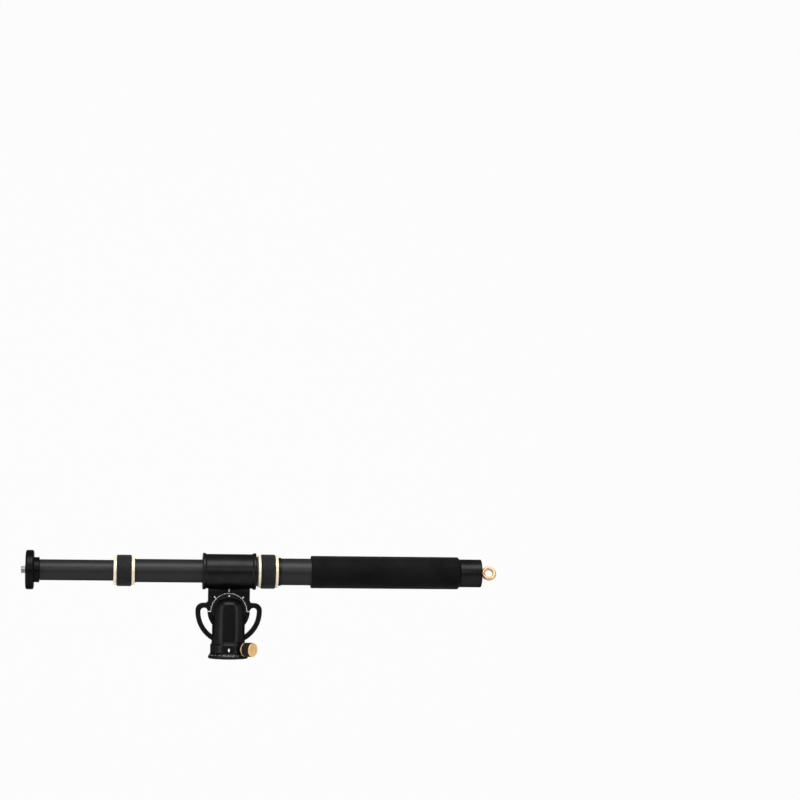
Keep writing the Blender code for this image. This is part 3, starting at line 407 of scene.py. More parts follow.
def spread(tree, noise_value, low=0.0, high=1.0):
    """A value from low to high that follows a noise over nearly all its range."""
    return remap(tree, noise_value, 0.3, 0.7, low, high)


def mix_colour(tree, factor, first, second, blend="MIX"):
    made = add_node(tree, "ShaderNodeMix", data_type="RGBA", blend_type=blend)
    for key, value in (("Factor", factor), ("A", first), ("B", second)):
        socket = [found for found in made.inputs if found.name == key and found.enabled][0]
        if isinstance(value, bpy.types.NodeSocket):
            tree.links.new(value, socket)
        elif key == "Factor":
            socket.default_value = value
        else:
            socket.default_value = (*value, 1.0)
    return [socket for socket in made.outputs if socket.enabled][0]


def set_surface(tree, shader, colour, roughness):
    tree.links.new(colour, shader.inputs["Base Color"])
    tree.links.new(roughness, shader.inputs["Roughness"])


def add_bump(tree, shader, height, strength, distance):
    """A bump from a height in millimetres, after any bump that the shader already has."""
    before = shader.inputs["Normal"].links
    links = (("Strength", strength), ("Distance", distance * MM), ("Height", height))
    made = add_node(tree, "ShaderNodeBump", links)
    if before:
        tree.links.new(before[0].from_socket, made.inputs["Normal"])
    tree.links.new(made.outputs["Normal"], shader.inputs["Normal"])


def edge_wear(tree, colour, amount):
    """A colour on convex edges, broken up by a noise, and black elsewhere."""
    pointed = add_node(tree, "ShaderNodeNewGeometry").outputs["Pointiness"]
    edge = remap(tree, pointed, 0.515, 0.58, 0.0, amount)
    broken = remap(tree, grain(tree, 420.0, 5.0, 0.7), 0.45, 0.62)
    return mix_colour(tree, math_node(tree, "MULTIPLY", edge, broken), (0.0, 0.0, 0.0), colour)


def round_place(tree, axis):
    """Distance along an axis, distance from it and angle about it, in metres and radians."""
    turn = axis.to_3x3().normalized()
    local = add_node(
        tree, "ShaderNodeVectorMath", ((0, object_place(tree)), (1, tuple(axis.to_translation()))),
        operation="SUBTRACT",
    ).outputs[0]
    parts = []
    for column in range(3):
        links = ((0, local), (1, tuple(turn.col[column])))
        parts.append(add_node(tree, "ShaderNodeVectorMath", links, operation="DOT_PRODUCT").outputs["Value"])
    squares = [math_node(tree, "MULTIPLY", part, part) for part in parts[:2]]
    across = math_node(tree, "SQRT", math_node(tree, "ADD", *squares))
    return parts[2], across, math_node(tree, "ARCTAN2", parts[1], parts[0])


def lathe_rings(tree, axis, scale):
    """Fine rings about an axis, on round walls and on faces."""
    along, across = round_place(tree, axis)[:2]
    return noise_node(tree, math_node(tree, "MULTIPLY_ADD", across, 0.7, along), scale, 2.0, 0.5, "1D")


# Materials
def black_anodised(name, share):
    """Bead-blasted and anodised casting: a fine grain, a soft sheen and bare metal on worn edges. A share
    below 1 darkens all its colours, as painted shade.
    """
    material, tree, shader = new_material(name, (0.018, 0.018, 0.0185), 0.34, 0.9, 0.2)
    shader.inputs["Specular Tint"].default_value = (0.35, 0.35, 0.35, 1.0)
    colours = ((0.0145, 0.0145, 0.015), (0.0205, 0.0205, 0.021))
    dark, light = ([share * value for value in colour] for colour in colours)
    base = mix_colour(tree, spread(tree, grain(tree, 55.0, 4.0)), dark, light)
    worn = edge_wear(tree, (0.045, 0.045, 0.047), 0.7)
    colour = mix_colour(tree, 1.0, base, worn, "ADD")
    set_surface(tree, shader, colour, spread(tree, grain(tree, 900.0, 4.0), 0.28, 0.4))
    add_bump(tree, shader, grain(tree, 4200.0, 2.0), 0.10, 0.05)
    return material


def gold_anodised(name, axis, deep, pale, metallic):
    """Turned and gold anodised: fine rings from the lathe about the piece's axis."""
    material, tree, shader = new_material(name, pale, 0.34, metallic)
    rings = lathe_rings(tree, axis, 9000.0)
    colour = mix_colour(tree, spread(tree, grain(tree, 130.0, 4.0)), deep, pale)
    set_surface(tree, shader, colour, spread(tree, rings, 0.3, 0.44))
    add_bump(tree, shader, rings, 0.10, 0.04)
    return material


def carbon_fibre(name, tows):
    """Plain weave of flat tows, along the boom and round it, under a thin satin lacquer."""
    material, tree, shader = new_material(name, (0.06, 0.06, 0.062), 0.46, 0.9, 0.3)
    shader.inputs["Specular Tint"].default_value = (0.3, 0.3, 0.3, 1.0)
    along, _, angle = round_place(tree, BOOM)
    length = math_node(tree, "DIVIDE", along, TOW_PITCH * MM)
    around = math_node(tree, "MULTIPLY", angle, tows / (2 * pi))
    cells = math_node(tree, "ADD", math_node(tree, "FLOOR", length), math_node(tree, "FLOOR", around))
    warp_on_top = math_node(tree, "FLOORED_MODULO", cells, 2.0)

    def crown(value):
        """Rounded section of a tow, 1 in its middle and 0 at its edges."""
        part = math_node(tree, "MULTIPLY_ADD", math_node(tree, "FRACT", value), 2.0, -1.0)
        edge = math_node(tree, "POWER", math_node(tree, "ABSOLUTE", part), 4.0)
        return math_node(tree, "SUBTRACT", 1.0, edge)

    height = math_node(tree, "MULTIPLY", crown(around), crown(length))
    choice = ((0, warp_on_top), (2, length), (3, around))
    across_fibres = add_node(tree, "ShaderNodeMix", choice, data_type="FLOAT").outputs[0]
    fibres = noise_node(tree, math_node(tree, "MULTIPLY", across_fibres, 11.0), 1.0, 1.0, 0.5, "1D")
    uneven = spread(tree, grain(tree, 160.0), 0.86, 1.0)
    # Painted sheen and shade: warp and weft are painted at two brightnesses, and each tow is painted darker
    # towards its edges, where it dips under the next.
    lit = mix_colour(tree, warp_on_top, (0.029, 0.029, 0.03), (0.043, 0.043, 0.0445))
    shade = math_node(tree, "MULTIPLY", remap(tree, height, 0.0, 0.6, 0.5, 1.0), uneven)
    colour = mix_colour(tree, shade, (0.013, 0.013, 0.0135), lit)
    set_surface(tree, shader, colour, spread(tree, fibres, 0.44, 0.54))
    shader.inputs["Coat Weight"].default_value = 0.06
    shader.inputs["Coat Roughness"].default_value = 0.25
    add_bump(tree, shader, height, 0.2, 0.08)
    add_bump(tree, shader, fibres, 0.1, 0.03)
    return material


def rubber():
    """Matte moulded rubber with a fine grain and a little dust."""
    material, tree, shader = new_material("rubber", (0.013, 0.013, 0.014), 0.6, 0.0, 0.1)
    dust = remap(tree, grain(tree, 260.0, 5.0, 0.7), 0.42, 0.72)
    colour = mix_colour(tree, dust, (0.0105, 0.0105, 0.011), (0.018, 0.0178, 0.0175))
    set_surface(tree, shader, colour, spread(tree, grain(tree, 1500.0), 0.55, 0.7))
    add_bump(tree, shader, grain(tree, 3000.0), 0.2, 0.06)
    return material


def foam():
    """Closed-cell foam: tiny cells that break up the light, with slightly paler rubbed patches."""
    material, tree, shader = new_material("foam", (0.006, 0.006, 0.006), 0.66, 0.0, 0.05)
    rubbed = remap(tree, grain(tree, 28.0, 5.0, 0.65), 0.35, 0.7)
    links = (("Vector", object_place(tree)), ("Scale", 2300.0))
    cells = add_node(tree, "ShaderNodeTexVoronoi", links, feature="F1").outputs[0]
    colour = mix_colour(tree, rubbed, (0.0034, 0.0034, 0.0035), (0.0062, 0.0062, 0.0062))
    set_surface(tree, shader, colour, remap(tree, rubbed, 0.0, 1.0, 0.72, 0.58))
    add_bump(tree, shader, cells, 0.35, 0.12)
    add_bump(tree, shader, grain(tree, 240.0), 0.15, 0.3)
    return material


def bare_metal(name, colour, roughness, axis):
    """Machined metal with fine rings about its axis."""
    material, tree, shader = new_material(name, colour, roughness, 1.0)
    rings = lathe_rings(tree, axis, 7000.0)
    darker = tuple(value * 0.78 for value in colour)
    stained = mix_colour(tree, spread(tree, grain(tree, 210.0, 4.0)), darker, colour)
    set_surface(tree, shader, stained, spread(tree, rings, roughness - 0.06, roughness + 0.12))
    add_bump(tree, shader, rings, 0.15, 0.05)
    return material


def black_plastic():
    """Moulded black plastic with a fine spark texture."""
    material, tree, shader = new_material("black_plastic", (0.014, 0.014, 0.0145), 0.45, 0.0, 0.35)
    tone = spread(tree, grain(tree, 90.0))
    colour = mix_colour(tree, tone, (0.011, 0.011, 0.0115), (0.018, 0.018, 0.0185))
    set_surface(tree, shader, colour, spread(tree, grain(tree, 1400.0), 0.38, 0.52))
    add_bump(tree, shader, grain(tree, 3600.0), 0.15, 0.05)
    return material


def white_paint():
    """Printed marks, a little thin in places."""
    material, tree, shader = new_material("white_paint", (0.8, 0.8, 0.8), 0.5, 0.0, 0.3)
    thin = remap(tree, grain(tree, 1900.0, 4.0, 0.7), 0.35, 0.6)
    colour = mix_colour(tree, thin, (0.42, 0.42, 0.42), (0.84, 0.84, 0.83))
    tree.links.new(colour, shader.inputs["Base Color"])
    return material


BLACK = black_anodised("black_anodised", 1.0)
# Painted shade: the flange gets the casting's finish at half its colour, which dims the lamp's highlight on
# its rim.
BLACK_FLANGE_PAINTED_SHADE = black_anodised("black_flange_painted_shade", 0.5)
GOLD_BOOM = gold_anodised("gold_boom", BOOM, (0.83, 0.7, 0.48), (0.9, 0.79, 0.6), 0.3)
GOLD_EYE = gold_anodised("gold_eye", BOOM, (0.6, 0.36, 0.17), (0.7, 0.46, 0.24), 0.5)
GOLD_LOCK = gold_anodised("gold_knob", LOCK, (0.8, 0.5, 0.2), (0.87, 0.57, 0.27), 0.75)
GOLD_CLAMP = gold_anodised("gold_handle", CLAMP, (0.8, 0.5, 0.2), (0.87, 0.57, 0.27), 0.75)
CARBON_FRONT = carbon_fibre("carbon_front", 48)
CARBON_MIDDLE = carbon_fibre("carbon_middle", 54)
CARBON_REAR = carbon_fibre("carbon_rear", 62)
RUBBER = rubber()
FOAM = foam()
STEEL_BOOM = bare_metal("steel_boom", (0.62, 0.61, 0.6), 0.26, BOOM)
STEEL_LOCK = bare_metal("steel_lock", (0.6, 0.6, 0.6), 0.28, LOCK)
STEEL_PIVOT = bare_metal("steel_pivot", (0.58, 0.58, 0.58), 0.28, PIVOT_LINE)
STEEL_BASE = bare_metal("steel_base", (0.6, 0.6, 0.6), 0.3, WORLD)
BRASS = bare_metal("brass", (0.72, 0.52, 0.22), 0.3, LOCK)
PLASTIC = black_plastic()
PAINT = white_paint()


# Camera flange with its stud, tubes and their locks, grip, end cap and eye
def make_flange():
    face, end = span("camera_flange")
    radius, hub, spigot = outer_radius("camera_flange"), 15.1, 10.6
    back, edge = face + 9.8, 2.2
    hub_end = span("front_tube")[0] - GAP
    stud_radius, thread_depth = 4.75, 0.85
    hole, hole_end = stud_radius + GAP, face + 14.8
    corners = [
        (hole, face, 0.3), (radius, face, edge), (radius, back, edge),
        (hub, back, 0.5), (hub, hub_end, 0.4), (spigot, hub_end, 0.0), (spigot, end, 0.5),
        (0.0, end, 0.0), (0.0, hole_end, 0.0), (hole, hole_end, 0.0),
    ]
    flange = turned("flange", rounded(corners), BOOM, BLACK_FLANGE_PAINTED_SHADE)
    fit(flange, "front_section", "black_anodised", "camera_flange")
    tip, inside = span("camera_stud")
    stud = threaded("stud", stud_radius, THREAD_PITCH, thread_depth, tip, inside, BOOM, STEEL_BOOM)
    fit(stud, "front_section", "steel", "camera_stud")


def make_tubes():
    for name, node, body, material, wall in (
        ("front_carbon_tube", "front_tube", "front_section", CARBON_FRONT, 1.5),
        ("middle_carbon_tube", "middle_tube", "boom", CARBON_MIDDLE, 1.0),
        ("rear_carbon_tube", "rear_tube", "rear_section", CARBON_REAR, 1.5),
    ):
        start, end = span(node)
        radius = outer_radius(node)
        fit(ring(name, radius - wall, radius, start, end, BOOM, material, 0.25), body, "carbon_fibre", node)


def make_locks():
    """Collar, rubber band and threaded ferrule of both locks, and the collet's nose at the rear one."""
    for name, tube, bore, opening, body, turn_body in (
        ("front_lock", 14.0, 12.5, 13.4, "boom", "front_twist"),
        ("rear_lock", 16.2, 14.8, 15.6, "rear_section", "rear_twist"),
    ):
        collar, band, ferrule = (f"{name}_{part}" for part in ("collar", "band", "ferrule"))
        inside, wall, skirt = tube + GAP, tube + 1.8, tube + 0.9
        thread = wall + GAP
        groove = thread + COLLAR_WALL
        start, end = span(collar)
        band_start, band_end = span(band)
        radius, lip_end, edge = outer_radius(collar), start + COLLAR_LIP, 0.9
        corners = [
            (opening, start, 0.3), (radius, start, edge),
            (radius, band_start - GAP, 0.15), (groove, band_start - GAP, 0.0),
            (groove, band_end + GAP, 0.0), (radius, band_end + GAP, 0.15),
            (radius, end, edge), (thread, end, 0.2), (thread, end - 13.9, 0.0),
            (bore + 1.3, lip_end, 0.0), (opening, lip_end, 0.0),
        ]
        outline = rounded(corners, 4)
        fit(turned(f"{name}_ring", outline, BOOM, GOLD_BOOM), turn_body, "gold_anodised", collar)
        inner, outer, edge = groove + GAP, outer_radius(band), 1.7
        corners = [
            (inner, band_start, 0.1), (outer, band_start, edge),
            (outer, band_end, edge), (inner, band_end, 0.1),
        ]
        fit(turned(f"{name}_sleeve", rounded(corners), BOOM, RUBBER), turn_body, "rubber", band)
        start, skirt_end = span(ferrule)
        corners = [
            (inside, start, 0.0), (wall, start, 0.2), (wall, end - GAP, 0.0),
            (skirt, end - GAP, 0.0), (skirt, skirt_end, 0.3), (inside, skirt_end, 0.0),
        ]
        fit(turned(f"{name}_skirt", rounded(corners, 3), BOOM, BLACK), body, "black_anodised", ferrule)

    nose, end = span("rear_lock_collet")
    mouth = span("rear_lock_collar")[0]
    lip_end = mouth + COLLAR_LIP + GAP
    bore, radius, stem = TUBE_RADIUS + GAP, 17.8, 15.3
    corners = [
        (bore, nose, 0.0), (radius, nose, 0.6), (radius, mouth - GAP, 0.2), (stem, mouth - GAP, 0.0),
        (stem, lip_end, 0.0), (15.7, lip_end, 0.0), (16.8, end, 0.0), (bore, end, 0.0),
    ]
    collet = turned("rear_lock_nose", rounded(corners, 4), BOOM, PLASTIC)
    fit(collet, "rear_section", "black_plastic", "rear_lock_collet")


def make_grip():
    """Foam tube whose surface is very slightly uneven, with rounded ends."""
    start, end = span("grip")
    bore, swell, step = 16.5, 0.06, 2.0
    radius = outer_radius("grip") - swell
    corners = [
        (bore, start, 0.4), (radius, start, 0.8),
        (radius, end - 2.6, 1.2), (radius - 2.7, end, 0.5), (bore, end, 0.2),
    ]
    outline = rounded(corners)
    straight = [(radius, start + 1.4 + step * i) for i in range(1, int((end - start - 5.0) / step))]
    first_two = 2 * len(outline) // len(corners)
    outline = outline[:first_two] + straight + outline[first_two:]

    def uneven(here, height, angle):
        if here < bore + 1.0:
            return here
        return here + swell * noise.noise(Vector((height / 9.0, 2.2 * cos(angle), 2.2 * sin(angle))))

    fit(turned("foam_grip", outline, BOOM, FOAM, FINE, uneven), "rear_section", "foam", "grip")


def make_end_cap():
    """Plug in the rear tube, with a shallow dish in its face and room for the eye's clip inside."""
    start, end = span("end_cap")
    shoulder = span("rear_tube")[1] + GAP
    radius, plug, dish = outer_radius("end_cap"), 14.4, 9.7
    clip_room, eye_bore = 7.0, SHANK_RADIUS + GAP
    floor = end - 0.8
    wall = floor - 10.0
    corners = [
        (clip_room, start, 0.3), (plug, start, 0.4), (plug, shoulder, 0.0),
        (radius, shoulder, 0.4), (radius, end - 0.9, 0.8), (11.0, end, 0.8),
        (dish, end, 0.25), (dish - 0.6, floor, 0.1),
        (eye_bore, floor, 0.2), (eye_bore, wall, 0.0), (clip_room, wall, 0.0),
    ]
    fit(turned("end_plug", rounded(corners), BOOM, BLACK), "rear_section", "black_anodised", "end_cap")


def make_eye():
    """Ring and shank as one turned and bent piece, with a soft fillet where they meet."""
    start, end = span("lanyard_eye")
    centre = end - EYE_RING - EYE_WIRE
    neck = centre - EYE_RING
    turn = radians(EYE_TURN)
    ring_axis = make_axis((centre * MM, 0, BOOM_HEIGHT), (0, cos(turn), -sin(turn)))
    loop = turned("eye_loop", arc((EYE_RING, 0.0), EYE_WIRE, 0.0, 345.0, 23), ring_axis, GOLD_EYE, 74)
    groove, groove_start, groove_end = 2.1, start + 1.2, start + 2.6
    shank = [
        (0.0, start, 0.0), (SHANK_RADIUS, start, 0.3), (SHANK_RADIUS, groove_start, 0.1),
        (groove, groove_start, 0.0), (groove, groove_end, 0.0),
        (SHANK_RADIUS, groove_end, 0.1), (SHANK_RADIUS, neck, 0.0), (0.0, neck, 0.0),
    ]
    join(loop, turned("eye_stem", rounded(shank, 3), BOOM, GOLD_EYE, 48))
    soften(loop, 0.22, 0.5, 5)
    fit(loop, "eye", "gold_anodised", "lanyard_eye")


# Tilt bracket
def plate_outline():
    """Neck, concave fillets, rounded shoulders and the plate's round lower edge, about the pivot."""
    half_neck = NECK_WIDTH / 2
    neck_top = BOOM_ABOVE_PIVOT - (SLEEVE_RADIUS + SLEEVE_BORE) / 2
    corner_height = SHOULDER_HEIGHT - SHOULDER_CORNER
    corner_reach = sqrt((PLATE_RADIUS - SHOULDER_CORNER) ** 2 - corner_height**2)
    rise = degrees(atan2(corner_height, corner_reach))
    fillet_centre = (-half_neck - NECK_FILLET, SHOULDER_HEIGHT + NECK_FILLET)
    left = [(-half_neck, neck_top)] + arc(fillet_centre, NECK_FILLET, 0.0, -90.0, 8)
    left += arc((-corner_reach, corner_height), SHOULDER_CORNER, 90.0, 180.0 - rise, 12)
    right = [(-across, up) for across, up in reversed(left)]
    return left + arc((0.0, 0.0), PLATE_RADIUS, 180.0 - rise, 360.0 + rise, 90)[1:-1] + right


def slot_outline():
    """U-shaped arc slot with round ends, about the pivot."""
    middle = (SLOT_INNER_RADIUS + SLOT_OUTER_RADIUS) / 2
    end_radius = (SLOT_OUTER_RADIUS - SLOT_INNER_RADIUS) / 2
    outline = arc((0.0, 0.0), SLOT_OUTER_RADIUS, 180.0, 360.0, 72)
    outline += arc((middle, 0.0), end_radius, 0.0, 180.0, 16)[1:]
    outline += arc((0.0, 0.0), SLOT_INNER_RADIUS, 360.0, 180.0, 60)[1:]
    outline += arc((-middle, 0.0), end_radius, 0.0, 180.0, 16)[1:-1]
    return outline


def flare_centre():
    """Place across and up of the fillet between the plate's front and the sleeve, about the pivot."""
    reach = PLATE_THICKNESS / 2 - FLARE_OVERLAP + FLARE_RADIUS
    return reach, BOOM_ABOVE_PIVOT - sqrt((SLEEVE_RADIUS + FLARE_RADIUS) ** 2 - reach**2)


def flare_outline():
    """Section of the metal between both fillets, up into the sleeve's wall."""
    reach, height = flare_centre()
    end_angle = 180.0 - degrees(acos(reach / (SLEEVE_RADIUS + FLARE_RADIUS)))
    right = arc((reach, height), FLARE_RADIUS, 180.0, end_angle, 14)
    inside = BOOM_ABOVE_PIVOT - (SLEEVE_RADIUS + SLEEVE_BORE) / 2
    right.append((right[-1][0] - 1.0, inside + 0.6))
    return right + [(-across, up) for across, up in reversed(right)]


def plate_front(up):
    """Depth of the bracket's front at a height above the pivot: the flat plate, then the flare's fillet."""
    reach, height = flare_centre()
    flat = PLATE_THICKNESS / 2
    if up <= height:
        return flat
    rise = min(up - height, FLARE_RADIUS * 0.95)
    return max(flat, reach - sqrt(FLARE_RADIUS**2 - rise**2))


def make_bracket():
    """Tilt plate with its slot and flares, the sleeve with its lips, and the sleeve's bushes."""
    half = PLATE_THICKNESS / 2
    plate = extruded("tilt_plate", plate_outline(), -half, half, "XZ", HEAD, BLACK)
    cut(plate, extruded("slot_cutter", slot_outline(), -half - 2.0, half + 2.0, "XZ", HEAD, BLACK))
    cut(plate, cylinder("bore_cutter", 7.3, -9.0, 9.0, PIVOT_LINE, BLACK))
    flare_half = NECK_WIDTH / 2 - 0.6
    join(plate, extruded("flare", flare_outline(), -flare_half, flare_half, "YZ", HEAD, BLACK))
    soften(plate, 0.36, 0.45, 4)
    fit(plate, "boom", "black_anodised", "tilt_bracket")

    end = span("sleeve_bush_right")[1] + GAP
    lip = (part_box("tilt_bracket")[1].z - BOOM_HEIGHT) / MM
    lip_start = end - LIP_WIDTH
    wall_end = lip_start - 1.6
    corners = [
        (SLEEVE_BORE, -end, 0.3), (lip, -end, 0.8), (lip, -lip_start, 0.9), (SLEEVE_RADIUS, -wall_end, 1.5),
        (SLEEVE_RADIUS, wall_end, 1.5), (lip, lip_start, 0.9), (lip, end, 0.8), (SLEEVE_BORE, end, 0.3),
    ]
    fit(turned("boom_sleeve", rounded(corners), BOOM, BLACK), "boom", "black_anodised")
    inner, outer = TUBE_RADIUS + GAP, SLEEVE_BORE - GAP
    for side in ("left", "right"):
        start, finish = span(f"sleeve_bush_{side}")
        bush = ring(f"bush_{side}", inner, outer, start, finish, BOOM, PLASTIC, 0.3)
        fit(bush, "boom", "black_plastic", f"sleeve_bush_{side}")


# Head
def tower_shape():
    """Round body, step and straight tower, then rings that narrow to an arch in width and a dome in depth."""
    rings = [(BODY_RADIUS, BODY_RADIUS, z) for z in (BODY_BOTTOM, BODY_TOP)]
    rings.append((TOWER_RADIUS, TOWER_RADIUS, BODY_TOP + TOWER_STEP))
    top = DOME_START + DOME_RISE - DOME_FLAT
    steps = 20
    for i in range(steps + 1):
        up = top * sin(radians(90.0 * i / steps))
        width = sqrt((ARCH_RADIUS - ARCH_STEP) ** 2 - up**2)
        depth = TOWER_RADIUS
        if up > DOME_START:
            depth = TOWER_RADIUS * sqrt(1.0 - ((up - DOME_START) / DOME_RISE) ** 2)
        rings.append((width, depth, PIVOT.z / MM + up))
    shape = bmesh.new()
    loops = []
    for width, depth, height in rings:
        loops.append([
            shape.verts.new((width * cos(2 * pi * k / FINE), depth * sin(2 * pi * k / FINE), height))
            for k in range(FINE)
        ])
    for low, high in zip(loops, loops[1:]):
        for k in range(FINE):
            shape.faces.new((low[k - 1], low[k], high[k], high[k - 1]))
    shape.faces.new(loops[0])
    shape.faces.new(loops[-1])
    return shape


def make_tower():
    """Clevis with its arched cheeks, slot, recess and bores."""
    tower = make_object("tower_casting", tower_shape(), WORLD, BLACK)
    inner = ARCH_RADIUS - CHEEK_CHAMFER
    cheeks = arc((0.0, 0.0), ARCH_RADIUS, 180.0, 0.0, 72)
    cheeks += [(ARCH_RADIUS, -CHEEK_DROP), (inner, -CHEEK_BOTTOM)]
    cheeks += [(-inner, -CHEEK_BOTTOM), (-ARCH_RADIUS, -CHEEK_DROP)]
    join(tower, extruded("cheeks", cheeks, -CHEEK_REACH, CHEEK_REACH, "XZ", HEAD, BLACK))
    slot = arc((0.0, 0.0), SLOT_CUT_RADIUS, 0.0, 355.0, 71)
    cut(tower, extruded("slot", slot, -SLOT_HALF_WIDTH, SLOT_HALF_WIDTH, "XZ", HEAD, BLACK))
    half = RECESS_WIDTH / 2
    bottom = RECESS_BOTTOM - PIVOT.z / MM
    recess = [(-half, bottom), (half, bottom)] + arc((0.0, RECESS_ARCH_CENTRE), half, 0.0, 180.0, 32)
    cut(tower, extruded("recess", recess, -CUTTER_REACH, -RECESS_FLOOR, "XZ", HEAD, BLACK))
    cut(tower, cylinder("post_bore", POST_RADIUS + GAP, 5.0, POST_HEIGHT + GAP, WORLD, BLACK))
    washer, spot_face, grub = 8.3, 6.4, 2.2
    in_post, in_body = POST_RADIUS - 1.0, BODY_RADIUS - 1.0
    # Each bore lists (radius of what is in it, start), and its last step runs out of the tower
    for name, steps, axis in (
        ("pivot_bore", [(PIN_RADIUS, -BLIND_DEPTH), (PIN_HEAD_RADIUS, 13.5)], PIVOT_LINE),
        ("clamp_bore", [(ROD_RADIUS, -BLIND_DEPTH), (washer, 0.0), (ROD_SHOULDER_RADIUS, 7.35)], CLAMP),
        ("lock_bore", [(LOCK_SCREW_RADIUS, in_post), (spot_face, in_body)], LOCK),
        ("grub_bore", [(grub, in_post)], GRUB),
    ):
        outline = [(0.0, steps[0][1])]
        for i, (radius, start) in enumerate(steps):
            end = steps[i + 1][1] if i + 1 < len(steps) else CUTTER_REACH
            outline += [(radius + GAP, start), (radius + GAP, end)]
        outline.append((0.0, CUTTER_REACH))
        cut(tower, turned(name, outline, axis, BLACK, SMALL))
    soften(tower, 0.32, 0.4, 4)
    fit(tower, "head", "black_anodised", "tower")


def make_base():
    """Foot ring with its flared rim and grooved post, and the steel thread insert."""
    radius, height = 24.2, 6.8
    start, end, insert_radius = GAP, 12.0, 7.0
    hole, hole_end = insert_radius + GAP, end + GAP
    seat, seat_radius = height - 0.9, 19.6
    groove = POST_RADIUS - 2.0
    corners = [
        (0.0, hole_end, 0.0), (hole, hole_end, 0.2), (hole, 0.0, 0.4),
        (radius - 0.3, 0.0, 0.7), (radius, 1.6, 0.4), (radius - 0.3, 3.0, 0.5),
        (BODY_RADIUS + 0.3, height - 1.0, 0.8), (BODY_RADIUS, height, 0.2),
        (seat_radius, height, 0.2), (seat_radius, seat, 0.0), (POST_RADIUS, seat, 0.3),
        (POST_RADIUS, 9.6, 0.2), (groove, 11.2, 0.2), (groove, 12.4, 0.2),
        (POST_RADIUS - 0.4, POST_HEIGHT, 0.3), (0.0, POST_HEIGHT, 0.0),
    ]
    fit(turned("foot_ring", rounded(corners, 4), WORLD, BLACK), "base", "black_anodised", "pan_base")

    minor, mouth, thread_depth = 4.15, 4.9, 0.55

    def thread_bore(here, depth, angle):
        if here > mouth + 0.1:
            return here
        phase = (depth / THREAD_PITCH - angle / (2 * pi)) % 1.0
        return here + thread_depth * min(1.0, max(0.0, abs(phase - 0.5) * 3.0 - 0.25))

    steps = 70
    outline = [(minor, end - (end - start) * i / steps) for i in range(steps + 1)]
    corners = [(mouth, start, 0.0), (insert_radius, start, 0.3), (insert_radius, end, 0.3), (mouth, end, 0.0)]
    outline += rounded(corners, 3)
    insert = turned("stand_thread", outline, WORLD, STEEL_BASE, 48, thread_bore)
    blade = [(-8.0, -0.8), (8.0, -0.8), (8.0, 0.8), (-8.0, 0.8)]
    cut(insert, extruded("driver_slot", blade, -0.7, 1.7, "XY", WORLD, STEEL_BASE))
    apply_modifiers(insert)
    fit(insert, "base", "steel", "thread_insert")


def make_pan_lock():
    """Knurled grip ring, gold knob with its inner flange, and screw."""
    start, flange_end, cap_start, end = 25.0, 26.4, 37.0, 38.5
    flange, core, cap, bore = 8.2, 6.15, 8.5, 6.5
    teeth, tooth_depth = 32, 0.42

    def knurl(here, height, angle):
        if here < 8.0:
            return here
        return here - tooth_depth * (0.5 - 0.5 * cos(teeth * angle)) ** 2

    grip_start, grip_end = flange_end + GAP, cap_start - GAP
    corners = [(bore, grip_start, 0.0), (8.3, grip_start, 0.5), (8.75, grip_end, 0.5), (bore, grip_end, 0.0)]
    grip = turned("knob_grip", rounded(corners, 4), LOCK, RUBBER, teeth * 8, knurl)
    fit(grip, "pan_knob", "rubber", "pan_lock_grip")
    screw_start, screw_end = 17.5, 33.0
    hole, hole_end = LOCK_SCREW_RADIUS + GAP, screw_end + GAP
    corners = [
        (hole, start, 0.3), (flange, start, 0.4), (flange, flange_end, 0.3),
        (core, flange_end, 0.0), (core, cap_start, 0.0), (cap, cap_start, 0.3), (cap, end, 0.7),
        (0.0, end, 0.0), (0.0, hole_end, 0.0), (hole, hole_end, 0.0),
    ]
    fit(turned("knob_cap", rounded(corners), LOCK, GOLD_LOCK), "pan_knob", "gold_anodised", "pan_lock_knob")
    screw = threaded(
        "knob_screw", LOCK_SCREW_RADIUS, 1.0, 0.4, screw_start, screw_end, LOCK, STEEL_LOCK, 0.5, 36
    )
    fit(screw, "pan_knob", "steel", "pan_lock_screw")


def make_clamp():
    """T-handle with its raised wings, and the stepped bolt in its stem."""
    start = 21.5
    bar = start + 12.0
    half, half_width = 17.0, 4.5
    right = [(5.0, bar - 1.2), (half, bar + 1.6), (half + 1.0, bar + 9.1), (half - 1.0, bar + 10.6)]
    left = [(-across, up) for across, up in reversed(right)]
    wings = left[-1:] + right + [(0.0, bar + 8.0)] + left[:-1]
    level = Matrix.Translation(CLAMP.to_translation()) @ Matrix.Scale(MM, 4)
    handle = extruded("clamp_handle", wings, -half_width, half_width, "XY", level, GOLD_CLAMP)
    bevel = handle.modifiers.new("edges", "BEVEL")
    bevel.width = 1.1 * MM
    bevel.segments = 3
    bevel.limit_method = "ANGLE"
    bevel.angle_limit = radians(30.0)
    foot, waist, neck = 6.0, 5.0, 4.1
    stem = [
        (0.0, start, 0.0), (foot, start, 0.5), (foot, start + 2.5, 0.8), (waist, start + 4.0, 0.8),
        (waist, bar - 4.0, 2.0), (neck, bar + 0.5, 0.5), (neck, bar + 3.0, 0.0), (0.0, bar + 3.0, 0.0),
    ]
    join(handle, turned("handle_stem", rounded(stem, 4), CLAMP, GOLD_CLAMP, SMALL))
    spigot, spigot_end = 3.4, start + 9.5
    cut(handle, cylinder("handle_bore", spigot + GAP, start - 1.0, spigot_end + GAP, CLAMP, GOLD_CLAMP))
    soften(handle, 0.3, 0.4, 5)
    fit(handle, "tilt_clamp", "gold_anodised", "tilt_handle")
    rod, shoulder = ROD_RADIUS, ROD_SHOULDER_RADIUS
    bolt = [
        (0.0, -13.8, 0.0), (rod, -13.8, 0.3), (rod, 6.1, 0.0),
        (shoulder, 6.1, 0.3), (shoulder, start - GAP, 0.4),
        (spigot, start - GAP, 0.0), (spigot, spigot_end, 0.2), (0.0, spigot_end, 0.0),
    ]
    shank = turned("clamp_shank", rounded(bolt, 3), CLAMP, STEEL_PIVOT, SMALL)
    fit(shank, "tilt_clamp", "steel", "clamp_bolt")


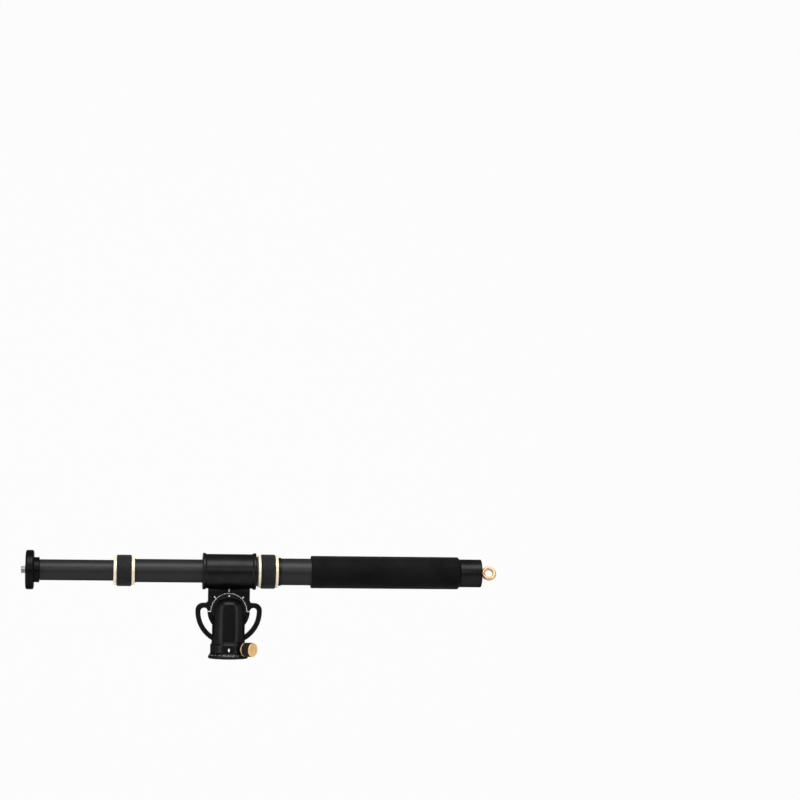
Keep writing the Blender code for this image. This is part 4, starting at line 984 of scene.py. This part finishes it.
def make_pivot():
    """Pivot bolt with a hexagon socket in its head."""
    seat = 13.8
    top = seat + 5.0
    profile = [
        (0.0, -14.1, 0.0), (PIN_RADIUS, -14.1, 0.3), (PIN_RADIUS, seat, 0.0),
        (PIN_HEAD_RADIUS, seat, 0.2), (PIN_HEAD_RADIUS, top, 0.7), (0.0, top, 0.0),
    ]
    bolt = turned("pivot_screw", rounded(profile, 4), PIVOT_LINE, STEEL_PIVOT, SMALL)
    hexagon = arc((0.0, 0.0), 3.46, 0.0, 300.0, 5)
    cut(bolt, extruded("socket", hexagon, seat + 2.0, seat + 7.0, "XY", PIVOT_LINE, STEEL_PIVOT))
    apply_modifiers(bolt)
    fit(bolt, "head", "steel", "pivot_bolt")


# Printed marks, as a skin of paint
def skin_patch(shape, rows):
    """Joins rows of points into a closed strip of paint: each point gives its front and its back."""
    fronts = [[shape.verts.new(front) for front, back in row] for row in rows]
    backs = [[shape.verts.new(back) for front, back in row] for row in rows]
    count = len(rows[0])
    for i in range(len(rows) - 1):
        for k in range(count - 1):
            shape.faces.new((fronts[i][k], fronts[i][k + 1], fronts[i + 1][k + 1], fronts[i + 1][k]))
            shape.faces.new((backs[i][k], backs[i + 1][k], backs[i + 1][k + 1], backs[i][k + 1]))
        shape.faces.new((fronts[i][0], fronts[i + 1][0], backs[i + 1][0], backs[i][0]))
        shape.faces.new((fronts[i][-1], backs[i][-1], backs[i + 1][-1], fronts[i + 1][-1]))
    for k in range(count - 1):
        shape.faces.new((fronts[0][k], backs[0][k], backs[0][k + 1], fronts[0][k + 1]))
        shape.faces.new((fronts[-1][k], fronts[-1][k + 1], backs[-1][k + 1], backs[-1][k]))


def plate_point(radius, angle):
    """Front and back of the paint at a radius and a bearing from straight up, on the bracket's front."""
    across = radius * sin(radians(angle))
    up = radius * cos(radians(angle))
    depth = plate_front(up)
    return (across, -depth - PAINT_SKIN, up), (across, -depth + PAINT_ROOT, up)


def round_point(radius, angle, height):
    """Front and back of the paint on a round wall, at a bearing from the front."""
    turn = radians(angle)
    outer, inner = radius + PAINT_SKIN, radius - PAINT_ROOT
    front = (outer * sin(turn), -outer * cos(turn), height)
    back = (inner * sin(turn), -inner * cos(turn), height)
    return front, back


def make_tilt_scale():
    """Half circle round the tower's arch, with marks at the quarters and fine graduations."""
    shape = bmesh.new()
    line = [[plate_point(radius, angle) for radius in (21.35, 21.85)] for angle in range(-90, 91, 2)]
    skin_patch(shape, line)
    # Each mark is its angle, its inner and outer radius and its width
    ticks = [(0.0, 23.4, 27.0, 1.1)]
    ticks += [(side * 45.0, 22.6, 25.2, 1.4) for side in (-1, 1)]
    ticks += [(side * 90.0, 21.9, 25.2, 1.0) for side in (-1, 1)]
    ticks += [(angle, 21.9, 22.75, 0.5) for angle in range(-75, 76, 15) if angle % 45]
    ticks += [(angle, 21.9, 22.35, 0.35) for angle in range(-85, 86, 5) if angle % 15]
    steps = 4
    for angle, start, end, width in ticks:
        half = degrees(width / 2 / start)
        rows = []
        for i in range(steps + 1):
            radius = start + (end - start) * i / steps
            rows.append([plate_point(radius, angle - half), plate_point(radius, angle + half)])
        skin_patch(shape, rows)
    fit(make_object("tilt_scale", shape, HEAD, PAINT), "boom", "black_anodised")


def make_head_marks():
    """Upright oval on the body for the pan scale, and a dot on the cheek for the tilt scale."""
    centre, half_height, half_width = 11.0, 2.1, 1.05
    shape = bmesh.new()
    rows = []
    steps = 12
    for i in range(steps + 1):
        up = -1.0 + 2.0 * i / steps
        width = half_width * sqrt(max(0.03, 1.0 - max(0.0, abs(up) - 0.5) ** 2 * 4.0))
        half = degrees(width / BODY_RADIUS)
        height = centre + half_height * up
        rows.append([round_point(BODY_RADIUS, -half + half * k / 2, height) for k in range(5)])
    skin_patch(shape, rows)
    fit(make_object("pan_index", shape, WORLD, PAINT), "head", "black_anodised")

    place = make_axis(PIVOT + Vector((0.0, -CHEEK_REACH, 19.1)) * MM, (0, 1, 0))
    dot = cylinder("tilt_index", 0.95, -PAINT_SKIN, PAINT_ROOT, place, PAINT, 32)
    fit(dot, "head", "black_anodised")


def make_pan_scale():
    """Marks every 5 degrees on the slope of the base ring, every third one longer."""
    low, high = 3.0, 5.8
    foot, top_radius = 23.9, BODY_RADIUS + 0.3
    shape = bmesh.new()
    for step in range(72):
        angle = 5.0 * step
        end, half_width = (5.1, 0.14) if step % 3 == 0 else (4.5, 0.1)
        half = degrees(half_width / 23.0)
        rows = []
        for height in (3.8, end):
            radius = foot + (top_radius - foot) * (height - low) / (high - low) + 0.02
            rows.append([round_point(radius, angle + side * half, height) for side in (-1, 1)])
        skin_patch(shape, rows)
    fit(make_object("pan_scale", shape, WORLD, PAINT), "base", "black_anodised")


def finish_hidden_nodes():
    """The pieces inside keep their solids, with the same finishes."""
    for node, material in (
        ("pan_washer", PLASTIC), ("friction_washer_front", PLASTIC), ("friction_washer_rear", PLASTIC),
        ("retaining_screw", STEEL_LOCK), ("pivot_bush", BRASS), ("clamp_washer", STEEL_PIVOT),
        ("brake_pad", BRASS), ("middle_tube_guide", PLASTIC), ("front_tube_guide", PLASTIC),
        ("front_lock_collet", PLASTIC), ("eye_clip", STEEL_BOOM),
    ):
        for material_slot in NODES[node].material_slots:
            material_slot.material = material


# Studio
def stage_material():
    """White with a trace of shadow for the camera and in reflections, and white paint for other light."""
    material = bpy.data.materials.new("studio_white")
    material.use_nodes = True
    tree = material.node_tree
    tree.nodes.clear()
    path = add_node(tree, "ShaderNodeLightPath").outputs
    seen = math_node(tree, "MAXIMUM", path["Is Camera Ray"], path["Is Glossy Ray"])
    seen = math_node(tree, "MAXIMUM", seen, path["Is Transmission Ray"])
    paint = add_node(tree, "ShaderNodeBsdfDiffuse", (("Color", (0.8, 0.8, 0.8, 1.0)),)).outputs[0]
    white = (("Color", (1.0, 1.0, 1.0, 1.0)), ("Strength", 1.0))
    glow = add_node(tree, "ShaderNodeEmission", white).outputs[0]
    shadowed = add_node(tree, "ShaderNodeMixShader", ((0, FLOOR_GLOW), (1, paint), (2, glow))).outputs[0]
    final = add_node(tree, "ShaderNodeMixShader", ((0, seen), (1, paint), (2, shadowed)))
    out = add_node(tree, "ShaderNodeOutputMaterial")
    tree.links.new(final.outputs[0], out.inputs["Surface"])
    return material


def make_studio():
    """Floor that curves up into a backdrop, far enough below the head for the boom to stand upright."""
    profile = [(-FLOOR_FRONT, -FLOOR_DEPTH)]
    centre = (BACKDROP_DISTANCE - BACKDROP_CURVE, BACKDROP_CURVE - FLOOR_DEPTH)
    profile += arc(centre, BACKDROP_CURVE, -90.0, 0.0, 24)
    profile.append((BACKDROP_DISTANCE, BACKDROP_TOP))
    shape = bmesh.new()
    left = [shape.verts.new((-STUDIO_HALF, y, z)) for y, z in profile]
    right = [shape.verts.new((STUDIO_HALF, y, z)) for y, z in profile]
    for k in range(len(profile) - 1):
        shape.faces.new((left[k], left[k + 1], right[k + 1], right[k]))
    make_object("floor_and_backdrop", shape, Matrix.Identity(4), stage_material())


def add_light(name, place, target, width, height, power):
    light = bpy.data.lights.new(name, "AREA")
    light.shape = "RECTANGLE"
    light.size = width
    light.size_y = height
    light.energy = power
    lamp = bpy.data.objects.new(name, light)
    bpy.context.scene.collection.objects.link(lamp)
    lamp.location = place
    lamp.rotation_euler = (Vector(target) - Vector(place)).to_track_quat("-Z", "Y").to_euler()


def make_world():
    """White for the camera, a plain fill as a light, and in reflections darker in front than behind."""
    world = bpy.data.worlds.new("studio")
    bpy.context.scene.world = world
    world.use_nodes = True
    tree = world.node_tree
    tree.nodes.clear()
    path = add_node(tree, "ShaderNodeLightPath").outputs
    direction = add_node(tree, "ShaderNodeTexCoord").outputs["Generated"]
    depth = add_node(tree, "ShaderNodeSeparateXYZ", ((0, direction),)).outputs["Y"]
    behind = remap(tree, depth, -0.6, 0.5, FRONT_REFLECTION, REAR_REFLECTION)
    glossy = math_node(tree, "MULTIPLY", path["Is Glossy Ray"], behind)
    seen = math_node(tree, "MAXIMUM", path["Is Camera Ray"], path["Is Transmission Ray"])
    seen = math_node(tree, "MAXIMUM", seen, glossy)
    not_glossy = math_node(tree, "SUBTRACT", 1.0, path["Is Glossy Ray"])
    strength = math_node(tree, "MAXIMUM", seen, math_node(tree, "MULTIPLY", not_glossy, WORLD_FILL))
    links = (("Color", (1.0, 1.0, 1.0, 1.0)), ("Strength", strength))
    background = add_node(tree, "ShaderNodeBackground", links)
    out = add_node(tree, "ShaderNodeOutputWorld")
    tree.links.new(background.outputs[0], out.inputs["Surface"])


def make_camera():
    data = bpy.data.cameras.new("camera")
    data.lens = CAMERA_LENS
    data.sensor_width = 36.0
    data.clip_end = 50.0
    camera = bpy.data.objects.new("camera", data)
    bpy.context.scene.collection.objects.link(camera)
    yaw, pitch = radians(CAMERA_YAW), radians(CAMERA_PITCH)
    look = Vector((sin(yaw) * cos(pitch), cos(yaw) * cos(pitch), sin(pitch)))
    turn = look.to_track_quat("-Z", "Y").to_matrix().to_4x4()
    roll = Matrix.Rotation(radians(CAMERA_ROLL), 4, "Z")
    camera.matrix_world = Matrix.Translation(CAMERA_PLACE) @ turn @ roll
    bpy.context.scene.camera = camera


make_flange()
make_tubes()
make_locks()
make_grip()
make_end_cap()
make_eye()
make_bracket()
make_tower()
make_base()
make_pan_lock()
make_clamp()
make_pivot()
make_tilt_scale()
make_head_marks()
make_pan_scale()
finish_hidden_nodes()

make_studio()
make_world()
for lamp in LAMPS:
    add_light(*lamp)
make_camera()
bpy.context.scene.view_settings.view_transform = "Standard"
